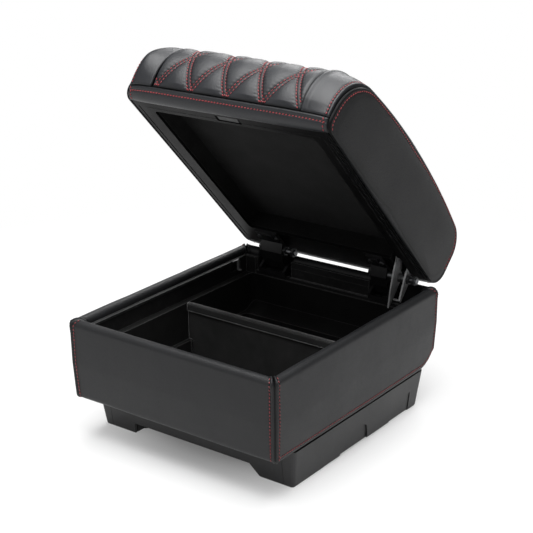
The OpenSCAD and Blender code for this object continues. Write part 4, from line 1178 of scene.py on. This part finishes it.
def bodyStitches():
    bm = bmesh.new()
    bottom, pitch = bodySize["bottom"], bodySize["stitchPitch"]

    def out(p):
        return Vector((p.x, p.y, 0.3 * (p.z - 0.08)))

    for kind, line in coverLines.items():
        def place(a, b):
            return coverPoint(kind, a, b)

        right = coverRowAt(bodySize["stitchInset"])
        left = 1 - coverRowAt(bodySize["leftInset" if kind == "front" else "stitchInset"])
        spots = [(u, *line.at(u)[:2]) for u in steps(0, 1, bodyRow["points"])]
        tall = [u for u, n, z in spots
                if z > bottom + bodyRow["foot"] and (n > bodyRow["inner"] or z < bodyRow["inside"])]
        for q in (right, left):
            sewOn(bm, place, [(q, u) for u in tall], pitch, out)
        if kind in ("left", "right"):
            hem = bottom + bodySize["hemInset"]
            low = min(spots, key=lambda spot: abs(spot[2] - hem) + (9 if spot[1] < -5 else 0))[0]
            sewOn(bm, place, [(q, low) for q in steps(1 - right, right, bodyRow["hemPoints"])], pitch, out)
    finishMesh(bm, "stitchesBody", "console", darkerThread)


quiltStitches()
lidStitches()
bodyStitches()
print("stitches sewn")

# stay spring
spring = {"wire": 0.8, "radius": 4.6, "turns": 4.5, "from": 90.3, "to": 97.7, "axisY": 116.5, "axisZ": 122.2,
          "perTurn": 26}


def springPiece():
    bm = bmesh.new()
    middle = opened(0, spring["axisY"], spring["axisZ"])
    start = Vector((spring["from"], middle.y, middle.z + spring["radius"])) * mm
    bmesh.ops.create_circle(bm, segments=10, radius=spring["wire"] * mm, matrix=Matrix.Translation(start))
    count = int(spring["perTurn"] * spring["turns"])
    climb = (spring["to"] - spring["from"]) / count * mm
    bmesh.ops.spin(bm, geom=bm.edges[:], axis=(1, 0, 0), cent=middle * mm, dvec=(climb, 0, 0),
                   angle=tau * spring["turns"], steps=count, use_merge=False)
    bmesh.ops.holes_fill(bm, edges=openEdges(bm), sides=0)
    bmesh.ops.recalc_face_normals(bm, faces=bm.faces)
    piece = finishMesh(bm, "staySpring", "lid", zincSteel)
    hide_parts("stay_spring")


springPiece()

# stage and light
stageLook = {"size": 6, "floor": 0.86, "world": 0.12, "underGlow": 0.15, "nearGlow": 0.63,
             "under": (0.1, 0.22), "beyond": (0.22, 0.75)}
lamps = {  # place, target, size and power
    "topLamp": ((0.05, -0.07, 1.7), (0, 0, 0.1), (1.5, 1.5), 52.0),
    "rightLamp": ((1.7, -0.3, 0.9), (0, 0, 0.15), (1.0, 1.2), 0.6),
    "leftLamp": ((-1.3, -1.2, 1.0), (0, 0, 0.2), (1.0, 1.0), 2.9),
    "frontLamp": ((0.5, -1.5, 1.5), (0, 0.1, 0.1), (0.8, 0.8), 2.1),
    "backLamp": ((-0.6, 1.6, 1.2), (0, 0, 0.2), (1.2, 0.8), 17.0),
}


# Share of plain white seen on the floor: some near the object, all of it far away
def whiteShare(tree, look):
    rays = addNode(tree, "LightPath").outputs
    bounced = mathNode(tree, "MAXIMUM", rays["Is Glossy Ray"], rays["Is Transmission Ray"])
    seen = mathNode(tree, "MAXIMUM", rays["Is Camera Ray"], bounced)
    away = addNode(tree, "VectorMath", {0: objectCoords(tree)}, operation="LENGTH")
    under = rangeNode(tree, away.outputs["Value"], *look["under"], look["underGlow"], look["nearGlow"])
    beyond = rangeNode(tree, away.outputs["Value"], *look["beyond"], 0.0, 1.0 - look["nearGlow"])
    return mathNode(tree, "MULTIPLY", seen, mathNode(tree, "ADD", under, beyond))


# Blends a shader into a second one, on the way to an output
def blendInto(tree, kind, share, first, second):
    mix = addNode(tree, "MixShader", {0: share, 1: first.outputs[0], 2: second.outputs[0]})
    addNode(tree, kind, {"Surface": mix.outputs[0]})


def addStage(look):
    bm = bmesh.new()
    bmesh.ops.create_grid(bm, x_segments=2, y_segments=2, size=look["size"])
    mesh = bpy.data.meshes.new("studioFloor")
    bm.to_mesh(mesh)
    bm.free()
    floor = bpy.data.objects.new("studioFloor", mesh)
    scene.collection.objects.link(floor)
    material = bpy.data.materials.new("paleFloor")
    mesh.materials.append(material)
    tree = clearedTree(material)
    paint = addNode(tree, "BsdfDiffuse", {"Color": grey(look["floor"])})
    glow = addNode(tree, "Emission", {"Strength": 1.0})
    blendInto(tree, "OutputMaterial", whiteShare(tree, look), paint, glow)
    scene.world = bpy.data.worlds.new("studioWorld")
    tree = clearedTree(scene.world)
    soft = addNode(tree, "Background", {"Strength": look["world"], "Color": (1, 1, 1)})
    white = addNode(tree, "Background", {"Strength": 1.0, "Color": (1, 1, 1)})
    rays = addNode(tree, "LightPath")
    blendInto(tree, "OutputWorld", rays.outputs["Is Camera Ray"], soft, white)


def addLamp(name, place, target, size, power):
    data = bpy.data.lights.new(name, "AREA")
    data.shape = "RECTANGLE"
    data.size, data.size_y = size
    data.energy = power
    lamp = bpy.data.objects.new(name, data)
    scene.collection.objects.link(lamp)
    lamp.location = place
    lamp.rotation_euler = (Vector(target) - Vector(place)).to_track_quat("-Z", "Y").to_euler()


addStage(stageLook)
for name, settings in lamps.items():
    addLamp(name, *settings)

scene.view_settings.view_transform = "Standard"
